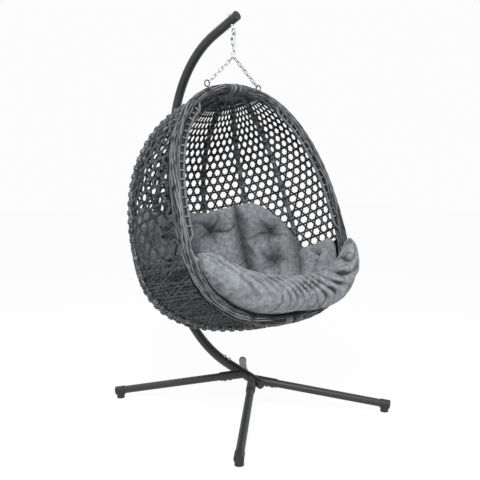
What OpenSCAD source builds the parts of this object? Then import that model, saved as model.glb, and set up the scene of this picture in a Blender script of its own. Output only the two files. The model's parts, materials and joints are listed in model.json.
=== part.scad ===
// Hanging egg chair: a C-shaped tubular stand on four splayed legs, and an egg-shaped
// basket of hoops and woven panels that hangs from the pole by a quick link and two chains.
// Units are millimetres, +Z is up and the open side of the basket faces -Y.

/* [Pole] */
// Outer diameter of the pole tube
pole_d = 48; // [42:1:56]
// Wall of the pole tube
pole_wall = 2; // [1.5:0.5:3]
// Height of the tube's centre line above the floor, over the centre of the base
hub_height = 160; // [140:5:190]
// Upward slope of the tube through the base, in degrees
base_rise = 10.6; // [8:0.2:13]
// Straight tube behind the centre of the base
tail_len = 104; // [102:1:130]
// Straight tube from the centre of the base to the lower bend
base_run = 158; // [140:2:190]
// Centre-line radius of the lower bend
low_bend_r = 660; // [620:10:700]
// Turn of the lower bend, in degrees
low_bend_turn = 86.8; // [84:0.2:90]
// Straight tube between the two bends
back_run = 496; // [440:4:560]
// Centre-line radius of the upper bend
high_bend_r = 576; // [540:6:620]
// Turn of the upper bend, in degrees
high_bend_turn = 62.6; // [58:0.2:66]
// Straight tube from the upper bend to the tip
tip_run = 180; // [165:5:230]
// Length of the reduced spigots that join the tubes
spigot_len = 85; // [70:5:110]
// Gap all round between a spigot and the tube over it
spigot_clear = 0.3; // [0.2:0.1:0.5]

/* [Legs] */
// Outer diameter of a leg tube
leg_d = 38; // [32:1:42]
// Wall of a leg tube
leg_wall = 1.8; // [1.2:0.2:2.6]
// Level distance from the hub's centre line to the end of a leg
leg_run = 680; // [600:10:740]
// Splay of a front leg from the -Y direction, in degrees
front_splay = 46; // [40:1:52]
// Splay of a rear leg from the +Y direction, in degrees
rear_splay = 40; // [36:1:50]
// Where the front sockets cross the base tube
front_socket_y = -44; // [-50:1:-40]
// Where the rear sockets cross the base tube
rear_socket_y = 22; // [15:1:35]
// Outer diameter of a leg socket
socket_d = 45; // [43:1:50]
// Length of a leg socket from the base tube's centre line
socket_len = 125; // [115:5:150]
// Height of the leg's centre line at its outer end
leg_end_height = 35; // [32:1:42]
// Diameter of the round foot under each end cap
foot_d = 40; // [32:1:42]
// Wall of the plastic end caps
cap_wall = 3; // [2:0.5:4]

/* [Fasteners] */
// Diameter of the pole and leg bolts
bolt_d = 8; // [6:1:10]
// Clearance added to a bolt hole's diameter
bolt_clear = 0.4; // [0.2:0.1:0.8]
// Diameter of a bolt's domed head and of a cap nut
bolt_head_d = 15; // [13:0.5:18]
// Spacing of the two bolts at each pole joint
bolt_pitch = 38; // [30:1:45]

/* [Hanger] */
// Distance of the eye bolt from the tip, along the pole
eye_setback = 44; // [40:1:60]
// Distance of the eye's centre below the pole's centre line
eye_drop = 60; // [54:1:75]
// Centre-line radius of the eye
eye_r = 13; // [12:0.5:16]
// Wire diameter of the eye
eye_wire = 8; // [7:0.5:9]
// Running gap between two links
link_gap = 0.3; // [0.2:0.1:0.5]
// Centre-line length of the quick link
quick_len = 62; // [58:1:75]
// Centre-line width of the quick link
quick_w = 22; // [20:1:26]
// Wire diameter of the quick link
quick_wire = 7; // [6:0.5:8]
// Length of the quick link's screw sleeve
sleeve_len = 14; // [12:0.5:15]
// Wire diameter of the chain links
chain_wire = 5; // [4:0.5:6]
// Centre-line width of the chain links
chain_w = 14; // [13:0.5:18]
// Distance from one chain link to the next
chain_pitch = 28.4; // [26:0.2:32]
// Number of links in each side chain
chain_links = 7; // [5:2:9]
// Wire diameter of the link that carries both chains
apex_wire = 6; // [5:0.5:7]
// Centre-line width of the link that carries both chains
apex_w = 20; // [19:1:26]
// Centre-line length of the link that carries both chains
apex_len = 41; // [38:1:50]
// Centre-line radius of the rings on the basket
ring_r = 15; // [13:0.5:18]
// Wire diameter of the rings on the basket
ring_wire = 6; // [5:0.5:7]
// Half the distance between the two rings
ring_x = 165; // [150:1:172]

/* [Basket] */
// Half width of the opening, to the centre line of the rim
rim_half_w = 500; // [460:5:530]
// Height of the widest level above the bottom of the rim
low_h = 430; // [400:5:460]
// Height of the top of the rim above the widest level
top_h = 730; // [690:5:770]
// Depth of the basket behind the plane of the rim
depth = 725; // [680:5:735]
// How far the basket's round section is centred behind the rim
section_back = 215; // [190:5:230]
// Fullness of the basket's upper half: 2 is an ellipse, more is squarer
top_power = 2.3; // [2:0.05:2.6]
// Fullness of the basket's lower half
low_power = 2.4; // [2:0.05:2.7]
// Lean of the rim backwards, in degrees
basket_lean = 20.5; // [17:0.5:24]
// Radial thickness of the wrapped rim
rim_t = 44; // [38:1:50]
// Fore-and-aft thickness of the wrapped rim
rim_b = 64; // [56:1:70]
// Gap between the two halves of the rim
rim_gap = 10; // [8:1:14]
// Diameter of a wrapped rib
rib_d = 26; // [22:1:28]
// Angle of the two inner ribs from the middle of the back, in degrees
rib_angle_1 = 14; // [12:0.5:16]
// Angle of the two middle ribs, in degrees
rib_angle_2 = 35; // [33:0.5:37]
// Angle of the two outer ribs, in degrees
rib_angle_3 = 56; // [54:0.5:58]
// Radius of the plates that gather the ribs at the top and the bottom
crown_r = 82; // [80:1:90]
// Height of the plates that gather the ribs
crown_h = 30; // [26:1:36]
// Thickness of the woven panels
weave_t = 6; // [4:0.5:8]
// Clearance between neighbouring pieces of the basket
seat_gap = 0.3; // [0.2:0.1:0.6]

/* [Cushion] */
// Clearance between the cushion and the ribs that it lies on
pad_seat = 0.8; // [0.8:0.1:3]
// Thickness of the seat and of the lower back pads
pad_t = 110; // [90:5:125]
// Thickness of the back pads near their top edge
pad_edge_t = 70; // [60:5:95]
// Height of the back pads above the rim's bottom
pad_top = 725; // [640:5:735]
// Height of the arms above the rim's bottom
arm_top = 375; // [350:5:400]
// Depth of the sewn channels between the pads
channel_depth = 34; // [15:1:40]
// Depth of the tufts
tuft_depth = 38; // [20:1:45]
// Diameter of the front roll
roll_d = 175; // [150:5:180]
// Half the length of the front roll
roll_half = 430; // [400:5:435]
// How far the roll's middle lies left of the basket's
roll_shift = 22; // [18:1:35]
// How far the roll's middle lies before the plane of the rim
roll_front = 62; // [50:1:75]
// How much further forward the roll's right end lies than its middle
roll_skew = 58; // [40:1:65]
// Height of the roll's axis above the rim's bottom at its lowest place
roll_up = 93; // [90:1:120]
// How much higher the roll's left end lies
roll_rise = 240; // [200:5:260]
// How much higher the roll's right end lies, where it turns up over the rim
roll_turn_up = 225; // [180:5:230]
// How far the roll's underside may hang below its round section to reach the rim
roll_sag = 38; // [0:1:40]

/* [Hidden] */
$fn = 48;

steel = "#232427";
plastic = "#17181a";
zinc = "#b9bdc2";
wicker = "#3c3e42";
cane = "#4a4d52";
cloth = "#7f868d";

function unit(v) = v / norm(v);
function lerp(a, b, t) = a + (b - a) * t;
function ramp(x, a, b) = let (t = min(1, max(0, (x - a) / (b - a)))) t * t * (3 - 2 * t);
function sum(v, i = 0) = i < len(v) ? v[i] + sum(v, i + 1) : 0;

// ---- Pole path in the plane x = 0: each run is [radius, turn] or [0, length] ----
runs = [[0, tail_len + base_run], [low_bend_r, low_bend_turn], [0, back_run],
    [high_bend_r, high_bend_turn], [0, tip_run]];
function run_len(r) = r[0] == 0 ? r[1] : r[0] * r[1] * PI / 180;
// A state is [y, z, heading]; a left turn lifts the heading.
function run_end(s, r, part = 1) = r[0] == 0
    ? [s[0] + r[1] * part * cos(s[2]), s[1] + r[1] * part * sin(s[2]), s[2]]
    : let (h = s[2] + r[1] * part)
        [s[0] + r[0] * (sin(h) - sin(s[2])), s[1] - r[0] * (cos(h) - cos(s[2])), h];
function state_at(i) = i == 0
    ? [-tail_len * cos(base_rise), hub_height - tail_len * sin(base_rise), base_rise]
    : run_end(state_at(i - 1), runs[i - 1]);
function start_of(i) = i == 0 ? 0 : start_of(i - 1) + run_len(runs[i - 1]);
path_len = start_of(len(runs));
// The state at the distance s from the tail end
function state(s, i = 0) = i == len(runs) - 1 || s <= start_of(i + 1)
    ? run_end(state_at(i), runs[i], (s - start_of(i)) / run_len(runs[i]))
    : state(s, i + 1);

pole_r = pole_d / 2;
bore_r = pole_r - pole_wall;
spigot_r = bore_r - spigot_clear;
spigot_root = 12;
// The base tube ends this far ahead of its centre.
base_joint_run = 122;
base_joint_s = tail_len + base_joint_run;
back_joint_s = start_of(2) + back_run / 2;
bolt_r = bolt_d / 2;
hole_r = bolt_r + bolt_clear / 2;
bolt_head_r = bolt_head_d / 2;
bolt_head_h = 5;
washer_h = 1.6;
nut_h = 9;
// How far a cutting shape runs past the surface that it cuts
past = 1;
// Play of a thread in its nut or sleeve
thread_gap = 0.05;
// Distance of the first bolt from the end of the outer tube
bolt_edge = 22;
bolt_spots = [for (s = [base_joint_s, back_joint_s], k = [0, 1]) s + bolt_edge + k * bolt_pitch];

// The whole is centred over the origin from the front feet to the back of the pole.
leg_r = leg_d / 2;
foot_r = foot_d / 2;
foot_h = leg_end_height - leg_r;
cap_r = leg_r + cap_wall;
cap_over = 44;
cap_slack = 0.3;
front_reach = leg_run * cos(front_splay) - front_socket_y + cap_wall + cap_r * sin(front_splay);
pole_back = state_at(2)[0] + max(0, low_bend_r * (1 - sin(base_rise + low_bend_turn))) + pole_r;
base_y = (front_reach - pole_back) / 2;

module at_pole(s) {
    p = state(s);
    translate([0, p[0] + base_y, p[1]]) rotate([p[2] - 90, 0, 0]) children();
}

module ring_2d(r, bore) {
    difference() {
        circle(r);
        circle(bore);
    }
}

// A bend is drawn a hair thinner than the straight tubes, which lap over its ends.
bend_thin = 0.01;
lap = 1;
// The state at the distance s, on the line or arc of the run i
function run_state(i, s) = run_end(state_at(i), runs[i], (s - start_of(i)) / run_len(runs[i]));

// A solid rod along the pole's centre line, from the distance s0 to s1
module rod_on_path(s0, s1, r) {
    for (i = [0:len(runs) - 1]) {
        a = i == 0 ? s0 : max(s0, start_of(i));
        b = i == len(runs) - 1 ? s1 : min(s1, start_of(i + 1));
        p = run_state(i, a);
        bend_r = runs[i][0];
        if (b > a && bend_r == 0) {
            back = a > s0 ? lap : 0;
            on = b < s1 ? lap : 0;
            translate([0, p[0] + base_y, p[1]]) rotate([p[2] - 90, 0, 0])
                translate([0, 0, -back]) cylinder(r = r, h = b - a + back + on);
        }
        if (b > a && bend_r > 0) {
            translate([0, p[0] - bend_r * sin(p[2]) + base_y, p[1] + bend_r * cos(p[2])])
                rotate([90, 0, 90]) rotate([0, 0, p[2] - 90])
                    rotate_extrude(angle = (b - a) / bend_r * 180 / PI, $fn = 96)
                        translate([bend_r, 0]) circle(r = r - bend_thin, $fn = 48);
        }
    }
}

// A tube from s0 to s1 whose far end is reduced to a spigot for the next tube
module spigot_tube(s0, s1) {
    difference() {
        union() {
            rod_on_path(s0, s1, pole_r);
            rod_on_path(s1 - spigot_root / 2, s1 + spigot_len, spigot_r);
        }
        rod_on_path(s0 - past, s1 - spigot_root, bore_r);
        rod_on_path(s1 - spigot_root - past, s1 + spigot_len + past, spigot_r - pole_wall);
    }
}

module bolt_holes(spots) {
    for (s = spots) at_pole(s) rotate([90, 0, 0]) cylinder(r = hole_r, h = 3 * pole_d, center = true);
}

// ---- Legs: end is -1 for the front pair and 1 for the rear pair ----
function socket_y(end) = end < 0 ? front_socket_y : rear_socket_y;
function socket_z(end) = hub_height + socket_y(end) * tan(base_rise);
function splay(end) = end < 0 ? front_splay : rear_splay;
function leg_pitch(end) = atan((socket_z(end) - leg_end_height) / leg_run);
function leg_slant(end) = leg_run / cos(leg_pitch(end));
socket_r = socket_d / 2;
// A leg stops just outside the base tube, whatever its splay.
hub_clear = 2;
function leg_start(end) = (pole_r + hub_clear + leg_r * cos(splay(end))) / sin(splay(end));
screw_s = socket_len - bolt_edge;
screw_pitch = 28;

module at_leg(side, end, s = 0) {
    translate([0, socket_y(end) + base_y, socket_z(end)])
        rotate([0, 0, atan2(end * cos(splay(end)), side * sin(splay(end)))])
            rotate([0, 90 + leg_pitch(end), 0]) translate([0, 0, s]) children();
}

module hub() {
    color(steel) difference() {
        union() {
            spigot_tube(0, base_joint_s);
            difference() {
                for (side = [-1, 1], end = [-1, 1])
                    at_leg(side, end, bore_r / 2) cylinder(r = socket_r, h = socket_len - bore_r / 2);
                rod_on_path(-past, base_joint_s, pole_r - pole_wall / 2);
            }
        }
        for (side = [-1, 1], end = [-1, 1]) {
            at_leg(side, end, leg_start(end) - seat_gap) cylinder(r = leg_r + spigot_clear, h = socket_len);
            for (k = [0, 1]) at_leg(side, end, screw_s - k * screw_pitch)
                rotate([0, 90, 0]) cylinder(r = hole_r, h = socket_d);
        }
        bolt_holes([bolt_spots[0], bolt_spots[1]]);
    }
}

module lower_pole() {
    color(steel) difference() {
        spigot_tube(base_joint_s + seat_gap, back_joint_s);
        bolt_holes(bolt_spots);
    }
}

module upper_pole() {
    color(steel) difference() {
        rod_on_path(back_joint_s + seat_gap, path_len, pole_r);
        rod_on_path(back_joint_s + seat_gap - past, path_len + past, bore_r);
        bolt_holes([bolt_spots[2], bolt_spots[3]]);
        at_pole(eye_s) rotate([90, 0, 0])
            cylinder(r = shank_r + bolt_clear / 2, h = 3 * pole_d, center = true);
    }
}

// Closes a pole tube: a domed flange outside and a plug inside
plug_len = 18;
tail_flange = 5;
tip_flange = 3;

module pole_plug(flange_h) {
    translate([0, 0, seat_gap]) cylinder(r = pole_r, h = flange_h);
    translate([0, 0, seat_gap + flange_h]) intersection() {
        sphere(r = pole_r);
        cylinder(r = pole_r, h = flange_h);
    }
    translate([0, 0, -plug_len]) cylinder(r = bore_r - spigot_clear, h = plug_len + past);
}

module hub_end_cap() {
    color(plastic) at_pole(0) rotate([180, 0, 0]) pole_plug(tail_flange);
}

module pole_tip_cap() {
    color(plastic) at_pole(path_len) pole_plug(tip_flange);
}

module leg(side, end) {
    color(steel) difference() {
        at_leg(side, end, leg_start(end)) linear_extrude(leg_slant(end) - leg_start(end))
            ring_2d(leg_r, leg_r - leg_wall);
        for (k = [0, 1]) at_leg(side, end, screw_s - k * screw_pitch)
            rotate([0, 90, 0]) cylinder(r = hole_r, h = socket_d);
    }
}

// An end cap that slips over the leg and stands on a round foot
module foot(side, end) {
    s = leg_slant(end);
    foot_s = s - cap_over / 2;
    color(plastic) difference() {
        union() {
            at_leg(side, end, s - cap_over) cylinder(r = cap_r, h = cap_over + cap_wall);
            intersection() {
                at_leg(side, end, foot_s) rotate([0, -90 - leg_pitch(end), 0])
                    translate([0, 0, -leg_end_height * 2]) cylinder(r = foot_r, h = leg_end_height * 2);
                translate([-2 * leg_run, -2 * leg_run, 0]) cube([4 * leg_run, 4 * leg_run, 2 * leg_end_height]);
            }
        }
        at_leg(side, end, s - cap_over - past) cylinder(r = leg_r + cap_slack, h = cap_over + past + cap_slack);
    }
}

// A low cylinder with a spherical cap over its upper part
module domed_head(r, h) {
    cap_h = 0.6 * h;
    ball_r = (r * r + cap_h * cap_h) / (2 * cap_h);
    cylinder(r = r, h = h - cap_h);
    translate([0, 0, h - cap_h]) intersection() {
        translate([0, 0, cap_h - ball_r]) sphere(r = ball_r);
        cylinder(r = r, h = h);
    }
}

// Button-head screws under the sockets, through the socket and one wall of the leg
screw_reach = 6;

module leg_screws() {
    color(zinc) for (side = [-1, 1], end = [-1, 1], k = [0, 1])
        at_leg(side, end, screw_s - k * screw_pitch) rotate([0, 90, 0]) {
            translate([0, 0, socket_r + seat_gap]) domed_head(bolt_head_r, bolt_head_h);
            translate([0, 0, leg_r - leg_wall - screw_reach])
                cylinder(r = bolt_r, h = socket_r - leg_r + leg_wall + screw_reach + past);
        }
}

// How deep a bolt's end sits in its nut
nut_grip = nut_h * 0.6;

module pole_bolts() {
    color(zinc) for (s = bolt_spots) at_pole(s) rotate([-90, 0, 0]) {
        translate([0, 0, pole_r + seat_gap]) domed_head(bolt_head_r, bolt_head_h);
        translate([0, 0, -pole_r - nut_grip]) cylinder(r = bolt_r, h = pole_d + nut_grip + past);
    }
}

// A hexagon with a ball on it, over a blind bore
module cap_nut(r, bore) {
    hex_h = nut_h * 0.7;
    dome_r = r * 0.82;
    difference() {
        union() {
            cylinder(r = r, h = hex_h, $fn = 6);
            cylinder(r = dome_r, h = hex_h);
            translate([0, 0, hex_h]) sphere(r = dome_r);
        }
        translate([0, 0, -2 * r]) cylinder(r = 2 * r, h = 2 * r);
        translate([0, 0, -past]) cylinder(r = bore, h = hex_h);
    }
}

module pole_nuts() {
    color(zinc) for (s = bolt_spots) at_pole(s) rotate([90, 0, 0])
        translate([0, 0, pole_r + seat_gap]) cap_nut(bolt_head_r, bolt_r + thread_gap);
}

// ---- Hanger ----
eye_s = path_len - eye_setback;
eye_axis = state(eye_s);
eye_y = eye_axis[0] + base_y - eye_drop * sin(180 - eye_axis[2]);
eye_z = eye_axis[1] - eye_drop * cos(180 - eye_axis[2]);
hang_y = eye_y;
quick_top = eye_z - eye_r + (eye_wire + quick_wire) / 2 + link_gap;
quick_bottom = quick_top - quick_len;
upper_len = chain_pitch + chain_wire + link_gap;
upper_top = quick_bottom + (quick_wire + chain_wire) / 2 + link_gap;
upper_bottom = upper_top - upper_len;
apex_top = upper_bottom + (chain_wire + apex_wire) / 2 + link_gap;
apex_z = apex_top - apex_len + apex_w / 2;
first_s = apex_w / 2 - (apex_wire + chain_wire) / 2 - link_gap;
last_s = first_s + (chain_links - 1) * chain_pitch + upper_len;
ring_contact_s = last_s - (chain_wire + ring_wire) / 2 - link_gap;
ring_dist = ring_contact_s + ring_r;
chain_tilt = asin(ring_x / ring_dist);
ring_z = apex_z - ring_dist * cos(chain_tilt);
rock_z = apex_z - ring_contact_s * cos(chain_tilt);

// An oval link in the XZ plane, its length along Z
module link(len, width, wire) {
    for (end = [-1, 1]) {
        translate([0, 0, end * (len - width) / 2]) rotate([90, 0, 0]) rotate([0, 0, end < 0 ? 180 : 0])
            rotate_extrude(angle = 180) translate([width / 2, 0]) circle(r = wire / 2, $fn = 24);
        translate([end * width / 2, 0, -(len - width) / 2])
            cylinder(r = wire / 2, h = len - width, $fn = 24);
    }
}

// The eye bolt crosses the pole square to it and carries the ring in the pole's plane.
shank_r = eye_wire / 2 - 0.3;
shoulder_h = 4;
washer_over = 2;
washer_play = 0.2;

module eye_bolt() {
    color(zinc) {
        translate([0, eye_y, eye_z]) rotate([0, 90, 0]) rotate_extrude()
            translate([eye_r, 0]) circle(r = eye_wire / 2, $fn = 24);
        at_pole(eye_s) rotate([90, 0, 0]) {
            translate([0, 0, -pole_r - washer_h - nut_grip])
                cylinder(r = shank_r, h = pole_r + washer_h + nut_grip + eye_drop - eye_r);
            translate([0, 0, pole_r + seat_gap]) cylinder(r = eye_wire, h = shoulder_h);
        }
    }
}

module eye_washer() {
    color(zinc) at_pole(eye_s) rotate([-90, 0, 0]) translate([0, 0, pole_r + seat_gap]) difference() {
        cylinder(r = bolt_head_r + washer_over, h = washer_h);
        translate([0, 0, -past]) cylinder(r = shank_r + washer_play, h = washer_h + 2 * past);
    }
}

module eye_nut() {
    color(zinc) at_pole(eye_s) rotate([-90, 0, 0])
        translate([0, 0, pole_r + washer_h + 2 * seat_gap]) cap_nut(bolt_head_r, shank_r + thread_gap);
}

quick_gap = 8;
sleeve_r = 6.5;
quick_mid = (quick_top + quick_bottom) / 2;

module quick_link() {
    color(zinc) translate([0, hang_y, quick_mid]) difference() {
        link(quick_len, quick_w, quick_wire);
        translate([-quick_w / 2 - quick_wire, -quick_wire, -quick_gap / 2])
            cube([2 * quick_wire, 2 * quick_wire, quick_gap]);
    }
}

module screw_sleeve() {
    color("#8c9096") translate([-quick_w / 2, hang_y, quick_mid - sleeve_len / 2]) difference() {
        union() {
            cylinder(r = sleeve_r, h = sleeve_len, $fn = 6);
            cylinder(r = sleeve_r * 0.88, h = sleeve_len);
        }
        translate([0, 0, -past]) cylinder(r = quick_wire / 2 + thread_gap, h = sleeve_len + 2 * past);
    }
}

module upper_link() {
    color(zinc) translate([0, hang_y, (upper_top + upper_bottom) / 2]) rotate([0, 0, 90])
        link(upper_len, chain_w, chain_wire);
}

module apex_link() {
    color(zinc) translate([0, hang_y, apex_top - apex_len / 2]) link(apex_len, apex_w, apex_wire);
}

// Every other link is turned a quarter, from the apex link to the ring on the rim.
module chain(side) {
    color(zinc) translate([0, hang_y, apex_z]) rotate([0, side * (180 - chain_tilt), 0])
        for (k = [0:chain_links - 1])
            translate([0, 0, first_s + upper_len / 2 + k * chain_pitch])
                rotate([0, 0, k % 2 == 0 ? 90 : 0]) link(upper_len, chain_w, chain_wire);
}

// ---- Basket shell: level is -90 at the bottom, 0 at the widest and 90 at the top ----
section_d = depth - section_back;
section_w = rim_half_w / sqrt(1 - pow(section_back / section_d, 2));
// The distance of the shell from the upright axis in the direction theta from +Y
function reach(theta) =
    let (a = pow(sin(theta) / section_w, 2) + pow(cos(theta) / section_d, 2),
        b = 2 * cos(theta) * section_back / pow(section_d, 2),
        c = pow(section_back / section_d, 2) - 1)
    (b + sqrt(b * b - 4 * a * c)) / (2 * a);
function power(level) = level < 0 ? low_power : top_power;
function half_h(level) = level < 0 ? low_h : top_h;
function span(level) = pow(cos(level), 2 / power(level));
function rise(level) = sign(level) * half_h(level) * pow(abs(sin(level)), 2 / power(level));
// The level at which a hoop of the given reach is r away from the axis
function level_at(w, r, end) = end * acos(pow(r / w, power(end) / 2));
// The outward normal of a hoop, as [level part, upright part]
function hoop_normal(w, level) =
    let (n = power(level), h = half_h(level))
    unit([pow(span(level), n - 1) / w, sign(level) * pow(abs(rise(level)) / h, n - 1) / h]);
// A point of the shell, moved outwards by off
function shell(theta, level, off = 0) =
    let (w = reach(theta), n = hoop_normal(w, level), r = span(level) * w + off * n[0])
    [r * sin(theta), r * cos(theta), low_h + rise(level) + off * n[1]];

// The basket hangs by its rings, leaning back; its frame has the bottom of the rim at the origin.
ring_level = level_at(rim_half_w, ring_x, 1);
ring_normal = hoop_normal(rim_half_w, ring_level);
ring_clear = 0.6;
ring_lift = rim_t / 2 + ring_r + ring_wire / 2 + ring_clear;
ring_at = shell(90, ring_level) + [0, 0, ring_lift / ring_normal[1]];

module in_basket() {
    translate([0, hang_y, ring_z]) rotate([-basket_lean, 0, 0]) translate([0, 0, -ring_at[2]]) children();
}

// Triangles of a grid of rows, closed round each row, with both ends capped by fans
function tube_faces(rows, cols) = concat(
    [for (i = [0:rows - 2], j = [0:cols - 1]) let (k = (j + 1) % cols)
        [i * cols + j, (i + 1) * cols + k, i * cols + k]],
    [for (i = [0:rows - 2], j = [0:cols - 1]) let (k = (j + 1) % cols)
        [i * cols + j, (i + 1) * cols + j, (i + 1) * cols + k]],
    [for (j = [1:cols - 2]) [0, j, j + 1]],
    [for (j = [1:cols - 2]) let (o = (rows - 1) * cols) [o, o + j + 1, o + j]]);

// A wrapped hoop: a rounded section carried along the shell at the angle theta
module hoop(theta, inner_r, half_b, half_t, sides, rows) {
    w = reach(theta);
    low = level_at(w, inner_r, -1);
    top = level_at(w, inner_r, 1);
    out = [sin(theta), cos(theta), 0];
    side = [cos(theta), -sin(theta), 0];
    points = [for (i = [0:rows - 1])
        let (level = lerp(low, top, i / (rows - 1)), n = hoop_normal(w, level),
            m = i == 0 || i == rows - 1 ? [0, sign(level)] : n,
            up = m[0] * out + [0, 0, m[1]])
        for (j = [0:sides - 1]) let (a = j * 360 / sides)
            shell(theta, level) + half_b * cos(a) * side + half_t * sin(a) * up];
    polyhedron(points, tube_faces(rows, sides));
}

panel_gap = 1;
rim_t2 = rim_t / 2;
rim_b2 = rim_b / 2;
rib_r = rib_d / 2;

module rim_half(side) {
    color(wicker) in_basket() hoop(side * 90, rim_gap / 2, rim_b2, rim_t2, 12, 41);
}

module rib(theta) {
    color(wicker) in_basket() hoop(theta, crown_r + seat_gap, rib_r, rib_r, 8, 33);
}

// A ring of round wire in the plane of the chains, on a short post square to the rim
post_r = 5;
post_gap = 0.1;
post_from = [ring_r * ring_normal[0], ring_r * ring_normal[1]];
post_len = ring_lift - rim_t / 2 - post_gap
    - post_from[0] * ring_normal[0] - post_from[1] * ring_normal[1] * cos(basket_lean);

module rim_ring(side) {
    color("#5c5f63") in_basket() translate([side * ring_x, 0, ring_at[2]]) {
        rotate([basket_lean, 0, 0]) rotate([90, 0, 0]) rotate_extrude()
            translate([ring_r, 0]) circle(r = ring_wire / 2, $fn = 24);
        translate([-side * post_from[0], post_from[1] * sin(basket_lean), -post_from[1] * cos(basket_lean)])
            rotate([0, side * atan2(ring_normal[0], ring_normal[1]), 0])
                translate([0, 0, -post_len]) cylinder(r = post_r, h = post_len);
    }
}

// The steel block between the wrapped halves of the rim
module rim_coupler(end) {
    core = 0.8;
    color(steel) in_basket() translate([0, 0, low_h + (end < 0 ? -low_h : top_h)])
        cube([rim_gap - 2 * seat_gap, rim_b * core, rim_t * core], center = true);
}

// The half-round plates behind the rim that the ribs run to
module gather_plate(end) {
    z = low_h + rise(level_at(reach(0), crown_r, end));
    color(steel) in_basket() translate([0, 0, z]) intersection() {
        cylinder(r = crown_r, h = crown_h, center = true);
        translate([-crown_r, rim_b2 + seat_gap, -crown_h]) cube([2 * crown_r, crown_r, 2 * crown_h]);
    }
}

// A woven panel between the hoops at the angles a and b, clear of their half widths
panel_inset = 18;

module weave(a, a_half, b, b_half, cols = 5, rows = 25) {
    mid = reach((a + b) / 2);
    low = level_at(mid, crown_r + panel_inset, -1);
    top = level_at(mid, crown_r + panel_inset, 1);
    skin = [for (off = [weave_t / 2, -weave_t / 2], i = [0:rows - 1])
        let (level = lerp(low, top, i / (rows - 1)), e = span(level),
            t0 = a + asin((a_half + panel_gap) / (e * reach(a))),
            t1 = b - asin((b_half + panel_gap) / (e * reach(b))))
        for (j = [0:cols - 1]) shell(lerp(t0, t1, j / (cols - 1)), level, off)];
    n = rows * cols;
    faces = concat(
        [for (i = [0:rows - 2], j = [0:cols - 2]) let (p = i * cols + j) [p, p + 1, p + cols + 1]],
        [for (i = [0:rows - 2], j = [0:cols - 2]) let (p = i * cols + j) [p, p + cols + 1, p + cols]],
        [for (i = [0:rows - 2], j = [0:cols - 2]) let (p = n + i * cols + j) [p, p + cols + 1, p + 1]],
        [for (i = [0:rows - 2], j = [0:cols - 2]) let (p = n + i * cols + j) [p, p + cols, p + cols + 1]],
        [for (i = [0:rows - 2]) let (p = i * cols)
            each [[p, p + cols, n + p + cols], [p, n + p + cols, n + p]]],
        [for (i = [0:rows - 2]) let (p = i * cols + cols - 1)
            each [[p, n + p + cols, p + cols], [p, n + p, n + p + cols]]],
        [for (j = [0:cols - 2]) each [[j, n + j, n + j + 1], [j, n + j + 1, j + 1]]],
        [for (j = [0:cols - 2]) let (p = (rows - 1) * cols + j)
            each [[p, n + p + 1, n + p], [p, p + 1, n + p + 1]]]);
    color(cane) in_basket() polyhedron(skin, faces);
}

// ---- Cushion: pads against the inside of the shell, and a roll over the front of the rim ----
pad_cols = 31;
pad_rows = 13;
pad_spread = 86;
pad_inner_r = 8;
cushion_gap = rib_r + pad_seat;
rim_clear = rim_t2 + 5;
// Angles of the sewn channels, and the angle and height of each tuft
channels = [28.7, 57.3];
channel_width = 4;
tufts = [[14.3, 600], [44, 520], [43, 350], [14.3, 350], [73, 290]];
tuft_width = 5;
tuft_height = 45;
// Angles between which the back pads step down to the arms, and where the arms begin to thin
arm_from = 42;
arm_to = 58.5;
arm_thin = 70;
// Heights between which the pads thin upwards, and between which the channels deepen
thin_from = 300;
thin_to = 640;
channel_from = 80;
channel_to = 260;
function level_of(z) = let (d = z - low_h) sign(d) * asin(pow(abs(d) / half_h(d), power(d) / 2));
function bump(x, at, width) = exp(-pow((x - at) / width, 2));
function pad_edge(theta) =
    let (u = min(max((abs(theta) - arm_from) / (arm_to - arm_from), 0), 1))
    level_of(lerp(arm_top, pad_top, pow(1 - pow(u, 1.8), 0.75)));
// Thickness of the pads in the direction theta, at the height z above the rim's bottom
function pad_depth(theta, z) = let (t = abs(theta))
    lerp(pad_t, pad_edge_t, ramp(z, thin_from, thin_to)) * (1 - 0.2 * ramp(t, arm_thin, pad_spread))
    - channel_depth * sum([for (c = channels) bump(t, c, channel_width)]) * ramp(z, channel_from, channel_to)
    - tuft_depth * sum([for (p = tufts) bump(t, p[0], tuft_width) * bump(z, p[1], tuft_height)]);
// Gap between the pads and the middle of the shell, wider where they pass the rim
function pad_gap(theta, level) =
    lerp(rim_clear, cushion_gap, ramp(span(level) * reach(theta) * cos(theta), rim_b2 + 2, 2 * rim_b2));
// Fullness of the pads across their top edge: 1 inside, closing to a rounded edge
edge_from = 0.88;
edge_left = 0.04;
function edge_full(v) = v < edge_from ? 1 : sqrt(1 + edge_left - pow((v - edge_from) / (1 - edge_from), 2));
function pad_point(theta, v, face) =
    let (level = lerp(level_at(reach(theta), pad_inner_r, -1), pad_edge(theta), v),
        t = pad_depth(theta, low_h + rise(level)))
    shell(theta, level, -pad_gap(theta, level) - t / 2 * (1 + face * edge_full(v)));
function pad_step(j) = 1 - pow(j / (pad_rows - 1), 1.5);
// One upright section of the pads: up the outside and down the inside
function pad_section(theta) = concat(
    [for (j = [pad_rows - 1:-1:0]) pad_point(theta, pad_step(j), -1)],
    [for (j = [0:pad_rows - 1]) pad_point(theta, pad_step(j), 1)]);

module seat_cushion() {
    points = [for (i = [0:pad_cols - 1]) each pad_section(lerp(-pad_spread, pad_spread, i / (pad_cols - 1)))];
    color(cloth) in_basket() polyhedron(points, tube_faces(pad_cols, 2 * pad_rows));
}

roll_rows = 19;
roll_sides = 12;
roll_back = 0.2;
roll_keep = 2.5;
roll_end = 0.995;
// Sharpness of the rise towards each end, and of the two closed ends
rise_power = 3.6;
turn_up_power = 10;
end_power = 6;
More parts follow.
